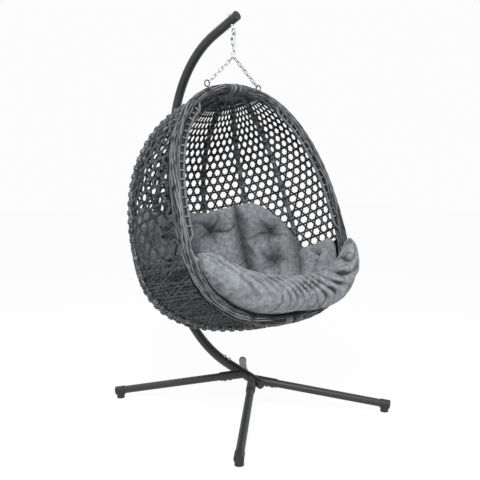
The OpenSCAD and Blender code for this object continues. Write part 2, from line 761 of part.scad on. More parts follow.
// Height of the top of the rim at the distance x from its middle
function rim_top(x) =
    let (level = level_at(rim_half_w, abs(x), -1), n = hoop_normal(rim_half_w, level))
    low_h + rise(level) - rim_clear / n[1];
// How far the roll reaches from its axis [y, z] in the direction a, above and before the rim
function roll_reach(y, z, r, top, a) =
    let (before = max(-rim_b2 - roll_keep - y, 0),
        side = cos(a) > 0.001 ? before / cos(a) : before > 0 ? 2 * r : 0,
        down = sin(a) < -0.001 ? (z - top) / -sin(a) : 2 * r,
        back = cos(a) > 0.001 ? (roll_back - y) / cos(a) : 2 * r)
    min(r, back, max(side, down));

module front_roll() {
    points = [for (i = [0:roll_rows - 1])
        let (t = roll_end * sin(lerp(-90, 90, i / (roll_rows - 1))),
            r = roll_d / 2 * sqrt(1 - pow(abs(t), end_power)),
            x = roll_half * t - roll_shift,
            y = -roll_front - roll_skew * t,
            z = roll_up + roll_rise * pow((1 - t) / 2, rise_power)
                + roll_turn_up * pow((1 + t) / 2, turn_up_power),
            top = rim_top(x),
            sag = min(max(z - top - r, 0), roll_sag),
            corner = atan2(top - z, -rim_b2 - roll_keep - y))
        for (j = [0:roll_sides - 1]) let (a = corner + j * 360 / roll_sides)
            [x, y, z] + roll_reach(y, z, r + sag * max(-sin(a), 0), top, a) * [0, cos(a), sin(a)]];
    color(cloth) in_basket() polyhedron(points, tube_faces(roll_rows, roll_sides));
}

// ---- The named pieces ----
module leg_front_left() { leg(-1, -1); }
module leg_front_right() { leg(1, -1); }
module leg_rear_left() { leg(-1, 1); }
module leg_rear_right() { leg(1, 1); }
module foot_front_left() { foot(-1, -1); }
module foot_front_right() { foot(1, -1); }
module foot_rear_left() { foot(-1, 1); }
module foot_rear_right() { foot(1, 1); }
module chain_left() { chain(-1); }
module chain_right() { chain(1); }
module ring_left() { rim_ring(-1); }
module ring_right() { rim_ring(1); }
module rim_left() { rim_half(-1); }
module rim_right() { rim_half(1); }
module rim_coupler_top() { rim_coupler(1); }
module rim_coupler_bottom() { rim_coupler(-1); }
module crown_plate() { gather_plate(1); }
module base_plate() { gather_plate(-1); }
module rib_inner_left() { rib(-rib_angle_1); }
module rib_inner_right() { rib(rib_angle_1); }
module rib_middle_left() { rib(-rib_angle_2); }
module rib_middle_right() { rib(rib_angle_2); }
module rib_outer_left() { rib(-rib_angle_3); }
module rib_outer_right() { rib(rib_angle_3); }
module weave_back() { weave(-rib_angle_1, rib_r, rib_angle_1, rib_r); }
module weave_rear_left() { weave(-rib_angle_2, rib_r, -rib_angle_1, rib_r); }
module weave_rear_right() { weave(rib_angle_1, rib_r, rib_angle_2, rib_r); }
module weave_flank_left() { weave(-rib_angle_3, rib_r, -rib_angle_2, rib_r); }
module weave_flank_right() { weave(rib_angle_2, rib_r, rib_angle_3, rib_r); }
module weave_side_left() { weave(-90, rim_b2, -rib_angle_3, rib_r); }
module weave_side_right() { weave(rib_angle_3, rib_r, 90, rim_b2); }

hub();
lower_pole();
upper_pole();
hub_end_cap();
pole_tip_cap();
leg_front_left();
leg_front_right();
leg_rear_left();
leg_rear_right();
foot_front_left();
foot_front_right();
foot_rear_left();
foot_rear_right();
leg_screws();
pole_bolts();
pole_nuts();
eye_bolt();
eye_washer();
eye_nut();
quick_link();
screw_sleeve();
upper_link();
apex_link();
chain_left();
chain_right();
ring_left();
ring_right();
rim_left();
rim_right();
rim_coupler_top();
rim_coupler_bottom();
crown_plate();
base_plate();
rib_inner_left();
rib_inner_right();
rib_middle_left();
rib_middle_right();
rib_outer_left();
rib_outer_right();
weave_back();
weave_rear_left();
weave_rear_right();
weave_flank_left();
weave_flank_right();
weave_side_left();
weave_side_right();
seat_cushion();
front_roll();
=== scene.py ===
"""Hanging egg chair: its finishes, woven basket and tufted cushion, dressed over the CAD frame.

Lengths are millimetres in the basket's own frame, which has its origin at the bottom of the
rim, +Y towards the back of the seat and +Z up the plane of the rim. EggShell.place turns them
into metres in the frame of the whole chair.
"""

import json
import logging
from collections.abc import Callable, Sequence
from dataclasses import dataclass
from enum import Enum

import bpy
import numpy as np
from mathutils import Matrix, Vector


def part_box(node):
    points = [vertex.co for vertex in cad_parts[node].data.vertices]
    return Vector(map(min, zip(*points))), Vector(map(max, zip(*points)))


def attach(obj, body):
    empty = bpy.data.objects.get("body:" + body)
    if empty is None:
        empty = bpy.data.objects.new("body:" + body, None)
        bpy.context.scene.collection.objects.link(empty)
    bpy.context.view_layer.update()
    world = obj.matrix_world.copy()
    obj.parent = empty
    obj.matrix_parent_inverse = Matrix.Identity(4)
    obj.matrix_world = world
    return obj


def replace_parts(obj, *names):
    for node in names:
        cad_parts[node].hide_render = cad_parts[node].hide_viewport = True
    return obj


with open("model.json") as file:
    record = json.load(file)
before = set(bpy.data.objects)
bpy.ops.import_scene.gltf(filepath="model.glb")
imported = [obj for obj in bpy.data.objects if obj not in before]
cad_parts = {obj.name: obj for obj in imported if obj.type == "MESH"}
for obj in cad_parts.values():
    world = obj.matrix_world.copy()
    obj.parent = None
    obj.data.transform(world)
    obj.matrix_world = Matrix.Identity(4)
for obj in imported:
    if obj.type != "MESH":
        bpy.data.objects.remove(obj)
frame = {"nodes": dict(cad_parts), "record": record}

logging.basicConfig(level=logging.INFO, format="%(message)s")
log = logging.getLogger("egg_chair")

Array = np.ndarray
MM = 0.001
SEED = 20


class Body(Enum):
    """The moving body that the dressed pieces ride on; the CAD's own nodes ride on theirs."""

    BASKET = "basket"


class Slot(Enum):
    """The record's material slots."""

    POWDER_COAT = "powder_coat"
    PLASTIC_CAP = "plastic_cap"
    ZINC_STEEL = "zinc_steel"
    GREY_SLEEVE = "grey_sleeve"
    DARK_STEEL = "dark_steel"
    FRAME_STEEL = "frame_steel"
    WRAPPED_WICKER = "wrapped_wicker"
    WOVEN_WICKER = "woven_wicker"
    CUSHION_FABRIC = "cushion_fabric"


def lerp(a: Array | float, b: Array | float, t: Array | float) -> Array | float:
    """The value a part t of the way from a to b."""
    return a + (b - a) * t


def ramp(x: Array, a: float, b: float) -> Array:
    """A smooth step from 0 at a to 1 at b: 3t^2 - 2t^3 of the clamped fraction t."""
    t = np.clip((x - a) / (b - a), 0, 1)
    return t * t * (3 - 2 * t)


def unit(v: Array) -> Array:
    """The vectors scaled to length 1."""
    return v / np.maximum(np.linalg.norm(v, axis=-1, keepdims=True), 1e-9)


def run_along(line: Array) -> Array:
    """The distance along a line of points from its first one: the running sum of its steps."""
    return np.concatenate([[0], np.cumsum(np.linalg.norm(np.diff(line, axis=0), axis=-1))])


def read_along(at: Array, run: Array, rows: Array) -> Array:
    """The vectors at places along a line, by linear interpolation between its rows."""
    return np.stack([np.interp(at, run, rows[:, i]) for i in range(3)], -1)


# ---- Materials ----


def linear(colour: str) -> tuple[float, float, float, float]:
    """An sRGB hex colour as linear RGBA, by the sRGB curve.

    Args:
        colour: The colour, written "#rrggbb".
    Returns:
        Red, green, blue and alpha.
    """
    srgb = np.array([int(colour[i : i + 2], 16) for i in (1, 3, 5)]) / 255
    rgb = np.where(srgb <= 0.04045, srgb / 12.92, ((srgb + 0.055) / 1.055) ** 2.4)
    return (*map(float, rgb), 1.0)


def per_mm(size: float) -> float:
    """The texture scale at which one period is the given number of millimetres."""
    return 1 / (size * MM)


class Recipe:
    """A material or a world under construction, as its tree of nodes."""

    def __init__(self, owner: bpy.types.Material | bpy.types.World) -> None:
        """Gives the owner its first nodes.

        Args:
            owner: The material or the world.
        """
        owner.use_nodes = True
        self.owner = owner
        self.tree = owner.node_tree

    def add(
        self,
        kind: str,
        inputs: dict | None = None,
        stops: dict[float, str] | None = None,
        **settings: object,
    ) -> bpy.types.Node:
        """Adds one node.

        Args:
            kind: Name of the node's type after "ShaderNode".
            inputs: Value or source socket for each named or numbered input.
            stops: Hex colours at the two places of a colour ramp, from 0 to 1.
            settings: Properties of the node itself.
        Returns:
            The new node.
        """
        node = self.tree.nodes.new("ShaderNode" + kind)
        for key, value in settings.items():
            setattr(node, key, value)
        if stops:
            for element, place in zip(node.color_ramp.elements, sorted(stops)):
                element.position = place
                element.color = linear(stops[place])
        self.feed(node, inputs or {})
        return node

    def feed(self, node: bpy.types.Node, inputs: dict) -> None:
        """Sets or links the inputs of a node, by name or number.

        Args:
            node: The node.
            inputs: Value or source socket for each input.
        """
        for key, value in inputs.items():
            if isinstance(value, bpy.types.NodeSocket):
                self.tree.links.new(value, node.inputs[key])
            else:
                node.inputs[key].default_value = value

    def finish(self, inputs: dict) -> bpy.types.Material:
        """Feeds the Principled shader, and returns the finished material."""
        self.feed(self.tree.nodes["Principled BSDF"], inputs)
        return self.owner


@dataclass(frozen=True)
class PowderCoat:
    """Matt black polyester powder baked on steel tube: a faint orange peel and dull highlights."""

    colour: str = "#232426"
    dust: str = "#2c2d30"
    roughness: float = 0.48
    cloud_mm: float = 60.0
    peel_mm: float = 2.2
    peel_depth_mm: float = 0.3
    peel_strength: float = 0.12

    def build(self) -> bpy.types.Material:
        """Clouds a little dust over the coat and raises its orange peel.

        Returns:
            The material, with its nodes.
        """
        r = Recipe(bpy.data.materials.new("powder_coated_steel"))
        place = r.add("TexCoord").outputs["Object"]
        cloud = r.add("TexNoise", {"Vector": place, "Scale": per_mm(self.cloud_mm), "Detail": 4.0})
        peel = r.add("TexNoise", {"Vector": place, "Scale": per_mm(self.peel_mm), "Detail": 2.0})
        colour = r.add("ValToRGB", {0: cloud.outputs[0]}, {0.35: self.colour, 0.75: self.dust})
        raised = {"Strength": self.peel_strength, "Distance": self.peel_depth_mm * MM}
        relief = r.add("Bump", {"Height": peel.outputs[0], **raised})
        look = {"Base Color": colour.outputs[0], "Roughness": self.roughness}
        return r.finish({**look, "Normal": relief.outputs[0]})


@dataclass(frozen=True)
class MouldedPlastic:
    """Injection-moulded black polypropylene: fine spark-eroded grain and soft wide highlights."""

    colour: str = "#1b1c1e"
    worn: str = "#2b2c2e"
    roughness: float = 0.55
    scuff_mm: float = 18.0
    grain_mm: float = 1.2
    grain_depth_mm: float = 0.2
    grain_strength: float = 0.2

    def build(self) -> bpy.types.Material:
        """Scuffs the plastic and gives it the grain of its mould.

        Returns:
            The material, with its nodes.
        """
        r = Recipe(bpy.data.materials.new("moulded_polypropylene"))
        place = r.add("TexCoord").outputs["Object"]
        scuff = r.add("TexNoise", {"Vector": place, "Scale": per_mm(self.scuff_mm), "Detail": 5.0})
        grain = r.add("TexNoise", {"Vector": place, "Scale": per_mm(self.grain_mm)})
        colour = r.add("ValToRGB", {0: scuff.outputs[0]}, {0.45: self.colour, 0.8: self.worn})
        raised = {"Strength": self.grain_strength, "Distance": self.grain_depth_mm * MM}
        relief = r.add("Bump", {"Height": grain.outputs[0], **raised})
        look = {"Base Color": colour.outputs[0], "Roughness": self.roughness}
        return r.finish({**look, "Normal": relief.outputs[0]})


@dataclass(frozen=True)
class PlatedSteel:
    """Zinc-plated drawn steel: bright, with cloudy passivation and fine drawing marks."""

    name: str = "zinc_plated_steel"
    colour: str = "#c3c6ca"
    cloud: str = "#8b8f94"
    roughness: float = 0.32
    duller: float = 0.14
    brighter: float = 0.06
    cloud_mm: float = 9.0
    mark_mm: float = 1.5
    mark_depth_mm: float = 0.1
    mark_strength: float = 0.15

    def build(self) -> bpy.types.Material:
        """Clouds the plating and varies its roughness.

        Returns:
            The material, with its nodes.
        """
        r = Recipe(bpy.data.materials.new(self.name))
        place = r.add("TexCoord").outputs["Object"]
        cloud = r.add("TexNoise", {"Vector": place, "Scale": per_mm(self.cloud_mm), "Detail": 4.0})
        drawn = r.add("TexNoise", {"Vector": place, "Scale": per_mm(self.mark_mm), "Detail": 1.0})
        colour = r.add("ValToRGB", {0: cloud.outputs[0]}, {0.3: self.cloud, 0.62: self.colour})
        raised = {"Strength": self.mark_strength, "Distance": self.mark_depth_mm * MM}
        relief = r.add("Bump", {"Height": drawn.outputs[0], **raised})
        ends = {3: self.roughness + self.duller, 4: self.roughness - self.brighter}
        rough = r.add("MapRange", {0: cloud.outputs[0], **ends})
        look = {"Base Color": colour.outputs[0], "Metallic": 1.0, "Roughness": rough.outputs[0]}
        return r.finish({**look, "Normal": relief.outputs[0]})


@dataclass(frozen=True)
class PolyRattan:
    """Extruded polyethylene cane: ribbed along its length, each strand its own charcoal."""

    name: str = "polyethylene_cane"
    dark: str = "#0b0c0d"
    light: str = "#45474b"
    roughness: float = 0.5
    shine: float = 0.22
    ridge_mm: float = 2.4
    ridge_depth_mm: float = 0.25
    ridge_strength: float = 0.35
    streak_scale: tuple = (0.02, 0.45, 7.0)
    streak_share: float = 0.55
    tone_share: float = 0.62

    def build(self) -> bpy.types.Material:
        """Shades a strand by its own tone and draws its ridges and streaks along it.

        The attribute "strand" holds the distance along the strand and across it, in
        millimetres, and the strand's tone from 0 to 1. The ridges are drawn coarser than the
        real 0.8 mm so that they still show.

        Returns:
            The material, with its nodes.
        """
        r = Recipe(bpy.data.materials.new(self.name))
        strand = r.add("Attribute", attribute_name="strand", attribute_type="GEOMETRY")
        place = strand.outputs["Vector"]
        _, across, tone = r.add("SeparateXYZ", {0: place}).outputs
        flow = r.add("Mapping", {"Vector": place, "Scale": self.streak_scale})
        streak = r.add("TexNoise", {"Vector": flow.outputs[0], "Scale": 1.0, "Detail": 4.0})
        shade = r.add("Math", {0: tone, 1: self.tone_share}, operation="MULTIPLY").outputs[0]
        mixed = {0: streak.outputs[0], 1: self.streak_share, 2: shade}
        shade = r.add("Math", mixed, operation="MULTIPLY_ADD")
        colour = r.add("ValToRGB", {0: shade.outputs[0]}, {0.25: self.dark, 0.8: self.light})
        turn = r.add("Math", {0: across, 1: 2 * np.pi / self.ridge_mm}, operation="MULTIPLY")
        ridge = r.add("Math", {0: turn.outputs[0]}, operation="SINE")
        raised = {"Strength": self.ridge_strength, "Distance": self.ridge_depth_mm * MM}
        relief = r.add("Bump", {"Height": ridge.outputs[0], **raised})
        look = {"Base Color": colour.outputs[0], "Roughness": self.roughness}
        look["Specular IOR Level"] = self.shine
        return r.finish({**look, "Normal": relief.outputs[0]})


@dataclass(frozen=True)
class BrushedPolyester:
    """Plain-woven brushed polyester: heathered yarns, a soft nap that catches light in patches,
    and painted shade in its creases.
    """

    dark: str = "#3f4347"
    light: str = "#a4a8ac"
    # Painted shade: deep is the near-black colour mixed into the creases, up to the share shade.
    deep: str = "#101113"
    shade: float = 0.97
    roughness: float = 0.88
    sheen: float = 0.2
    sheen_roughness: float = 0.5
    yarn_mm: float = 2.0
    yarn_share: float = 0.4
    patch_mm: float = 24.0
    patch_share: float = 0.6
    patch_roughness: float = 0.62
    weave_depth_mm: float = 0.5
    weave_strength: float = 0.25

    def build(self) -> bpy.types.Material:
        """Mixes heathered yarns with patches of nap, paints shade into the creases and raises the
        weave.

        The attribute "crease" is 1 in a crease and 0 outside. It mixes the colour towards deep,
        a painted shade where light hardly reaches.
        The yarns are drawn at 2 mm, coarser than the real 0.5 mm, so that they still show.

        Returns:
            The material, with its nodes.
        """
        r = Recipe(bpy.data.materials.new("brushed_polyester"))
        place = r.add("TexCoord").outputs["Object"]
        patchy = {"Scale": per_mm(self.patch_mm), "Detail": 6.0, "Roughness": self.patch_roughness}
        nap = r.add("TexNoise", {"Vector": place, **patchy})
        yarn = r.add("TexNoise", {"Vector": place, "Scale": per_mm(self.yarn_mm), "Detail": 2.0})
        yarns = r.add("Math", {0: yarn.outputs[0], 1: self.yarn_share}, operation="MULTIPLY")
        mixed = {0: nap.outputs[0], 1: self.patch_share, 2: yarns.outputs[0]}
        mixed = r.add("Math", mixed, operation="MULTIPLY_ADD")
        colour = r.add("ValToRGB", {0: mixed.outputs[0]}, {0.3: self.dark, 0.7: self.light})
        # Painted shade: the crease attribute darkens the colour towards deep.
        crease = r.add("Attribute", attribute_name="crease", attribute_type="GEOMETRY")
        share = r.add("Math", {0: crease.outputs["Fac"], 1: self.shade}, operation="MULTIPLY")
        ends = {6: colour.outputs[0], 7: linear(self.deep)}
        shaded = r.add("Mix", {0: share.outputs[0], **ends}, data_type="RGBA")
        grid = r.add("TexVoronoi", {"Vector": place, "Scale": per_mm(self.yarn_mm)})
        raised = {"Strength": self.weave_strength, "Distance": self.weave_depth_mm * MM}
        relief = r.add("Bump", {"Height": grid.outputs[0], **raised})
        look = {"Base Color": shaded.outputs[2], "Roughness": self.roughness}
        nap_look = {"Sheen Weight": self.sheen, "Sheen Roughness": self.sheen_roughness}
        return r.finish({**look, **nap_look, "Normal": relief.outputs[0]})


def white_rays(r: Recipe) -> bpy.types.NodeSocket:
    """1 for a ray of the camera, of a reflection or through glass: the largest of the three.

    Args:
        r: The recipe that takes the nodes.
    Returns:
        The socket of that value.
    """
    path = r.add("LightPath").outputs
    seen = r.add("Math", {0: path["Is Camera Ray"], 1: path["Is Glossy Ray"]}, operation="MAXIMUM")
    both = {0: seen.outputs[0], 1: path["Is Transmission Ray"]}
    return r.add("Math", both, operation="MAXIMUM").outputs[0]


@dataclass(frozen=True)
class StudioPaper:
    """Seamless white paper that keeps the chair's soft shadow."""

    colour: str = "#fbfbfb"
    glow: float = 0.95

    def build(self) -> bpy.types.Material:
        """Lets the camera and reflections see a share of plain white through the lit paper.

        Returns:
            The material, with its nodes.
        """
        r = Recipe(bpy.data.materials.new("studio_paper"))
        share = r.add("Math", {0: white_rays(r), 1: self.glow}, operation="MULTIPLY")
        paper = r.add("BsdfDiffuse", {"Color": linear(self.colour)})
        white = r.add("Emission", {"Color": (1, 1, 1, 1), "Strength": 1.0})
        parts = {0: share.outputs[0], 1: paper.outputs[0], 2: white.outputs[0]}
        mixed = r.add("MixShader", parts)
        r.feed(r.tree.nodes["Material Output"], {0: mixed.outputs[0]})
        return r.owner


FINISHES = {
    Slot.POWDER_COAT: PowderCoat(),
    Slot.PLASTIC_CAP: MouldedPlastic(),
    Slot.ZINC_STEEL: PlatedSteel(),
    Slot.GREY_SLEEVE: PlatedSteel("dipped_sleeve", "#6a6d71", "#55585c", 0.5),
    Slot.DARK_STEEL: PlatedSteel("blackened_steel", "#5c5f63", "#3c3e42", 0.42),
    Slot.FRAME_STEEL: PowderCoat("#1d1e20", "#26272a", 0.52),
    Slot.WRAPPED_WICKER: PolyRattan("wrapping_cane", "#090a0b", "#75787c", 0.46, 0.26),
    Slot.WOVEN_WICKER: PolyRattan(),
    Slot.CUSHION_FABRIC: BrushedPolyester(),
}
MATERIALS = {slot: finish.build() for slot, finish in FINISHES.items()}


# ---- Meshes ----


def tube_quads(count: int, rings: int, sides: int) -> Array:
    """Quads of closed tubes whose points run tube by tube and ring by ring.

    Args:
        count: Number of tubes.
        rings: Rings in each tube.
        sides: Points in each ring, an even number.
    Returns:
        Rows of four point numbers: the walls, then fans of quads over both ends.
    """
    base = (np.arange(count)[:, None, None] * rings + np.arange(rings - 1)[None, :, None]) * sides
    j = np.arange(sides)[None, None, :]
    k = (j + 1) % sides
    wall = np.stack([base + j, base + sides + j, base + sides + k, base + k], -1).reshape(-1, 4)
    i = 2 * np.arange(1, sides // 2)
    fan = np.stack([0 * i, i - 1, i, i + 1], -1)
    near = (np.arange(count) * rings * sides)[:, None, None] + fan
    far = (near + (rings - 1) * sides)[..., ::-1]
    return np.concatenate([wall, near.reshape(-1, 4), far.reshape(-1, 4)])


class Surface:
    """Collects tubes and strands, and becomes one mesh object.

    A strand's section is squared by a power below 1, and its streaks start further along the
    stronger its tone is, so that no two strands show the same ones.
    """

    SQUARING = 0.7
    STREAK_START = 997

    def __init__(self, name: str, slot: Slot, seed: int) -> None:
        """Starts empty.

        Args:
            name: Name of the piece.
            slot: Material slot of the piece.
            seed: Number that settles the strands' tones.
        """
        self.name = name
        self.slot = slot
        self.random = np.random.default_rng(SEED + seed)
        self.points: list[Array] = []
        self.quads: list[Array] = []
        self.marks: list[Array] = []
        self.size = 0

    def add(self, rings: Array, marks: Array) -> None:
        """Adds closed tubes.

        Args:
            rings: Points as tubes x rings x sides x 3, in millimetres.
            marks: Values of the "strand" attribute for the same points.
        """
        count, n, sides, _ = rings.shape
        self.points.append(rings.reshape(-1, 3))
        self.marks.append(marks.reshape(-1, 3))
        self.quads.append(tube_quads(count, n, sides) + self.size)
        self.size += count * n * sides

    def strands(
        self,
        path: Array,
        normal: Array,
        width: Array | float,
        thick: Array | float,
        sides: int = 6,
        tone: tuple[float, float] = (0, 1),
    ) -> None:
        """Adds flat canes along paths.

        The section is an ellipse squared towards a flat bar: each of cosine and sine of the
        angle is raised to the power 0.7 with its sign kept. It lies across the path, flat
        against the surface that the normal stands on.

        Args:
            path: Centre lines as strands x points x 3.
            normal: Outward normals at the same points.
            width: Width of the strands, one value or one for each point.
            thick: Thickness of the strands, in the same form.
            sides: Points round a section.
            tone: Range of the tones that the strands take.
        """
        along = unit(np.gradient(path, axis=1))
        side = unit(np.cross(along, normal))
        up = np.cross(side, along)
        a = (np.arange(sides) + 0.5) * 2 * np.pi / sides
        x, y = (np.sign(f) * np.abs(f) ** self.SQUARING for f in (np.cos(a), np.sin(a)))
        w = np.broadcast_to(width, path.shape[:2])[..., None] / 2 * x
        t = np.broadcast_to(thick, path.shape[:2])[..., None] / 2 * y
        rings = path[:, :, None] + w[..., None] * side[:, :, None] + t[..., None] * up[:, :, None]
        step = np.linalg.norm(np.diff(path, axis=1, prepend=path[:, :1]), axis=-1)
        shade = self.random.uniform(*tone, len(path))[:, None]
        run = np.cumsum(step, 1) + self.STREAK_START * shade
        marks = np.stack(np.broadcast_arrays(run[..., None], w, shade[..., None]), -1)
        self.add(rings, marks)

    def build(self, shell: "EggShell") -> bpy.types.Object:
        """Makes the object in the chair's frame, with its faces outward.

        Args:
            shell: The shell whose frame the points are in.
        Returns:
            The object.
        """
        points = shell.place(np.concatenate(self.points))
        piece = make_piece(self.name, points, np.concatenate(self.quads), self.slot)
        mark = piece.data.attributes.new("strand", "FLOAT_VECTOR", "POINT")
        mark.data.foreach_set("vector", np.concatenate(self.marks).astype(np.float32).ravel())
        return piece


def outward(points: Array, quads: Array) -> Array:
    """Turns the faces round where the volume they enclose comes out negative.

    The volume is the sum over both triangles of each quad of a . (b x c) / 6, of which only
    the sign counts.

    Args:
        points: Points of a closed mesh.
        quads: Rows of four point numbers.
    Returns:
        The rows, all turned round or all as they were.
    """
    a, b, c, d = (points[quads[:, i]] for i in range(4))
    volume = np.einsum("ij,ij->", a, np.cross(b, c)) + np.einsum("ij,ij->", a, np.cross(c, d))
    return quads if volume > 0 else quads[:, ::-1]


def make_piece(name: str, points: Array, quads: Array, slot: Slot) -> bpy.types.Object:
    """Makes a smooth-shaded object of quads that rides on the basket.

    Args:
        name: Name of the piece.
        points: Points in metres, in the chair's frame.
        quads: Rows of four point numbers.
        slot: Material slot of the piece.
    Returns:
        The object, with its finish.
    """
    mesh = bpy.data.meshes.new(name)
    mesh.from_pydata(points, [], outward(points, quads))
    mesh.polygons.foreach_set("use_smooth", np.ones(len(mesh.polygons), bool))
    mesh.update()
    piece = bpy.data.objects.new(name, mesh)
    bpy.context.scene.collection.objects.link(piece)
    mesh.materials.append(MATERIALS[slot])
    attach(piece, Body.BASKET.value)
    log.info("%s: %d faces", name, len(quads))
    return piece


# ---- The egg ----


@dataclass(frozen=True)
class EggShell:
    """The middle surface of the basket: an egg-shaped shell behind a leaning rim.

    A place on it has a direction theta from the back, and a level from -pi/2 at the bottom to
    pi/2 at the top. Distances up and down it are read from tables along its middle hoop, which
    lies hoop_angle degrees from the back.
    """

    rim_half_width: float = 500.0
    low_height: float = 430.0
    top_height: float = 730.0
    depth: float = 725.0
    section_back: float = 215.0
    low_power: float = 2.4
    top_power: float = 2.3
    lean: float = 20.5
    rim_thick: float = 44.0
    ring_x: float = 165.0
    ring_radius: float = 15.0
    ring_wire: float = 6.0
    ring_clear: float = 0.6
    hub_radius: float = 82.0
    hoop_angle: float = 45.0
    hoop_points: int = 6001
    arc_ends: tuple = (-1200, 1400)
    arc_points: int = 5201
    last_level: float = 1.565
    last_normal: float = 1.55
    tangent_step: float = 1e-3

    def reach(self, theta: Array) -> Array:
        """Distance of the shell from its upright axis in the direction theta from the back.

        The level section is an ellipse centred section_back behind the rim, and the reach is
        the larger root of its equation along that direction.

        Args:
            theta: Directions from the back, in radians.
        Returns:
            Distances in millimetres.
        """
        deep = self.depth - self.section_back
        wide = self.rim_half_width / np.sqrt(1 - (self.section_back / deep) ** 2)
        a = (np.sin(theta) / wide) ** 2 + (np.cos(theta) / deep) ** 2
        b = 2 * np.cos(theta) * self.section_back / deep**2
        c = (self.section_back / deep) ** 2 - 1
        return (b + np.sqrt(b * b - 4 * a * c)) / (2 * a)

    def span(self, level: Array) -> Array:
        """Share of the reach at a level: the cosine to the power 2 over the fullness."""
        return np.cos(level) ** (2 / np.where(level < 0, self.low_power, self.top_power))

    def height(self, level: Array) -> Array:
        """Height over the rim's bottom: the sine to the power 2 / fullness, times the half.

        Args:
            level: Levels on the shell, in radians.
        Returns:
            Heights in millimetres.
        """
        half = np.where(level < 0, self.low_height, self.top_height)
        power = 2 / np.where(level < 0, self.low_power, self.top_power)
        return self.low_height + np.sign(level) * half * np.abs(np.sin(level)) ** power

    def level_at_height(self, z: Array) -> Array:
        """The level at a height over the rim's bottom, from the inverse of height.

        Args:
            z: Heights over the bottom of the rim, in millimetres.
        Returns:
            Levels on the shell, in radians.
        """
        d = np.asarray(z) - self.low_height
        half = np.where(d < 0, self.low_height, self.top_height)
        power = np.where(d < 0, self.low_power, self.top_power)
        return np.sign(d) * np.arcsin(np.clip(np.abs(d) / half, 0, 1) ** (power / 2))

    def level_at_radius(self, theta: Array, radius: float, end: int) -> Array:
        """The level at which the shell is radius from its axis, at the bottom (-1) or top (1)."""
        power = self.low_power if end < 0 else self.top_power
        return end * np.arccos(np.clip(radius / self.reach(theta), 0, 1) ** (power / 2))

    def bare(self, theta: Array, level: Array) -> Array:
        """Points of the shell: the reach at that level round the axis, and the height."""
        w = self.reach(theta) * self.span(level)
        return np.stack([w * np.sin(theta), w * np.cos(theta), self.height(level)], -1)

    def at(self, theta: Array, level: Array, off: Array | float = 0) -> Array:
        """Points of the shell, moved outward by off along its normal."""
        theta, level = np.broadcast_arrays(theta, level)
        return self.bare(theta, level) + np.asarray(off)[..., None] * self.normal(theta, level)

    def normal(self, theta: Array, level: Array) -> Array:
        """Outward unit normals: the cross product of the shell's two tangents.

        The tangents are differences over 0.001 radians, kept away from the two ends.

        Args:
            theta: Directions from the back, in radians.
            level: Levels on the shell, in radians.
        Returns:
            Vectors of length 1.
        """
        theta, level = np.broadcast_arrays(theta, level)
        level = np.clip(level, -self.last_normal, self.last_normal)
        step = self.tangent_step
        round_it = self.bare(theta + step, level) - self.bare(theta - step, level)
        up_it = self.bare(theta, level + step) - self.bare(theta, level - step)
        return unit(np.cross(up_it, round_it))

    def level_at_arc(self, arc: Array) -> Array:
        """The level at a distance along the middle hoop from the widest level, up positive.

        Args:
            arc: Distances in millimetres.
        Returns:
            Levels on the shell, in radians.
        """
        level = np.linspace(-self.last_level, self.last_level, self.hoop_points)
        reach = self.reach(np.radians(self.hoop_angle)) * self.span(level)
        run = run_along(np.stack([reach, self.height(level)], -1))
        return np.interp(arc, run - np.interp(0, level, run), level)

    def arc_at_level(self, level: Array) -> Array:
        """The distance along the middle hoop at a level: the inverse of level_at_arc."""
        arc = np.linspace(*self.arc_ends, self.arc_points)
        return np.interp(level, self.level_at_arc(arc), arc)

    def depth_under(self, points: Array) -> Array:
        """How far points lie under the shell, along the ray from its middle.

        On the shell w^p + d^p = 1, with w the share of the reach, d the share of the half
        height and p the fullness. The p-th root of that sum is a point's share of the ray.

        Args:
            points: Points in the basket's frame, in millimetres.
        Returns:
            Depths in millimetres, above 0 inside the shell.
        """
        x, y, z = np.moveaxis(points, -1, 0)
        d = z - self.low_height
        power = np.where(d < 0, self.low_power, self.top_power)
        wide = np.hypot(x, y) / self.reach(np.arctan2(x, y))
        tall = np.abs(d) / np.where(d < 0, self.low_height, self.top_height)
        share = np.maximum(wide**power + tall**power, 1e-6) ** (1 / power)
        return (1 / share - 1) * np.linalg.norm(points - [0, 0, self.low_height], axis=-1)

    def place(self, points: Array) -> Array:
        """Turns basket points in millimetres into chair points in metres.

        The basket hangs by its rings, which stand above the rim at ring_x, and leans back
        about them.

        Args:
            points: Points in the basket's frame, in millimetres.
        Returns:
            The same points in the chair's frame, in metres.
        """
        ring = np.asarray(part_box("ring_left"))
        link = np.asarray(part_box("apex_link"))
        ring_z = ring[1][2] / MM - self.ring_radius - self.ring_wire / 2
        hang_y = (link[0][1] + link[1][1]) / 2 / MM
        level = self.level_at_radius(np.pi / 2, self.ring_x, 1)
        lift = self.rim_thick / 2 + self.ring_radius + self.ring_wire / 2 + self.ring_clear
        ring_at = self.height(level) + lift / self.normal(np.pi / 2, level)[2]
        c, s = np.cos(np.radians(self.lean)), np.sin(np.radians(self.lean))
        x, y, z = np.moveaxis(points, -1, 0)
        z = z - ring_at
        return np.stack([x, hang_y + y * c + z * s, ring_z - y * s + z * c], -1) * MM


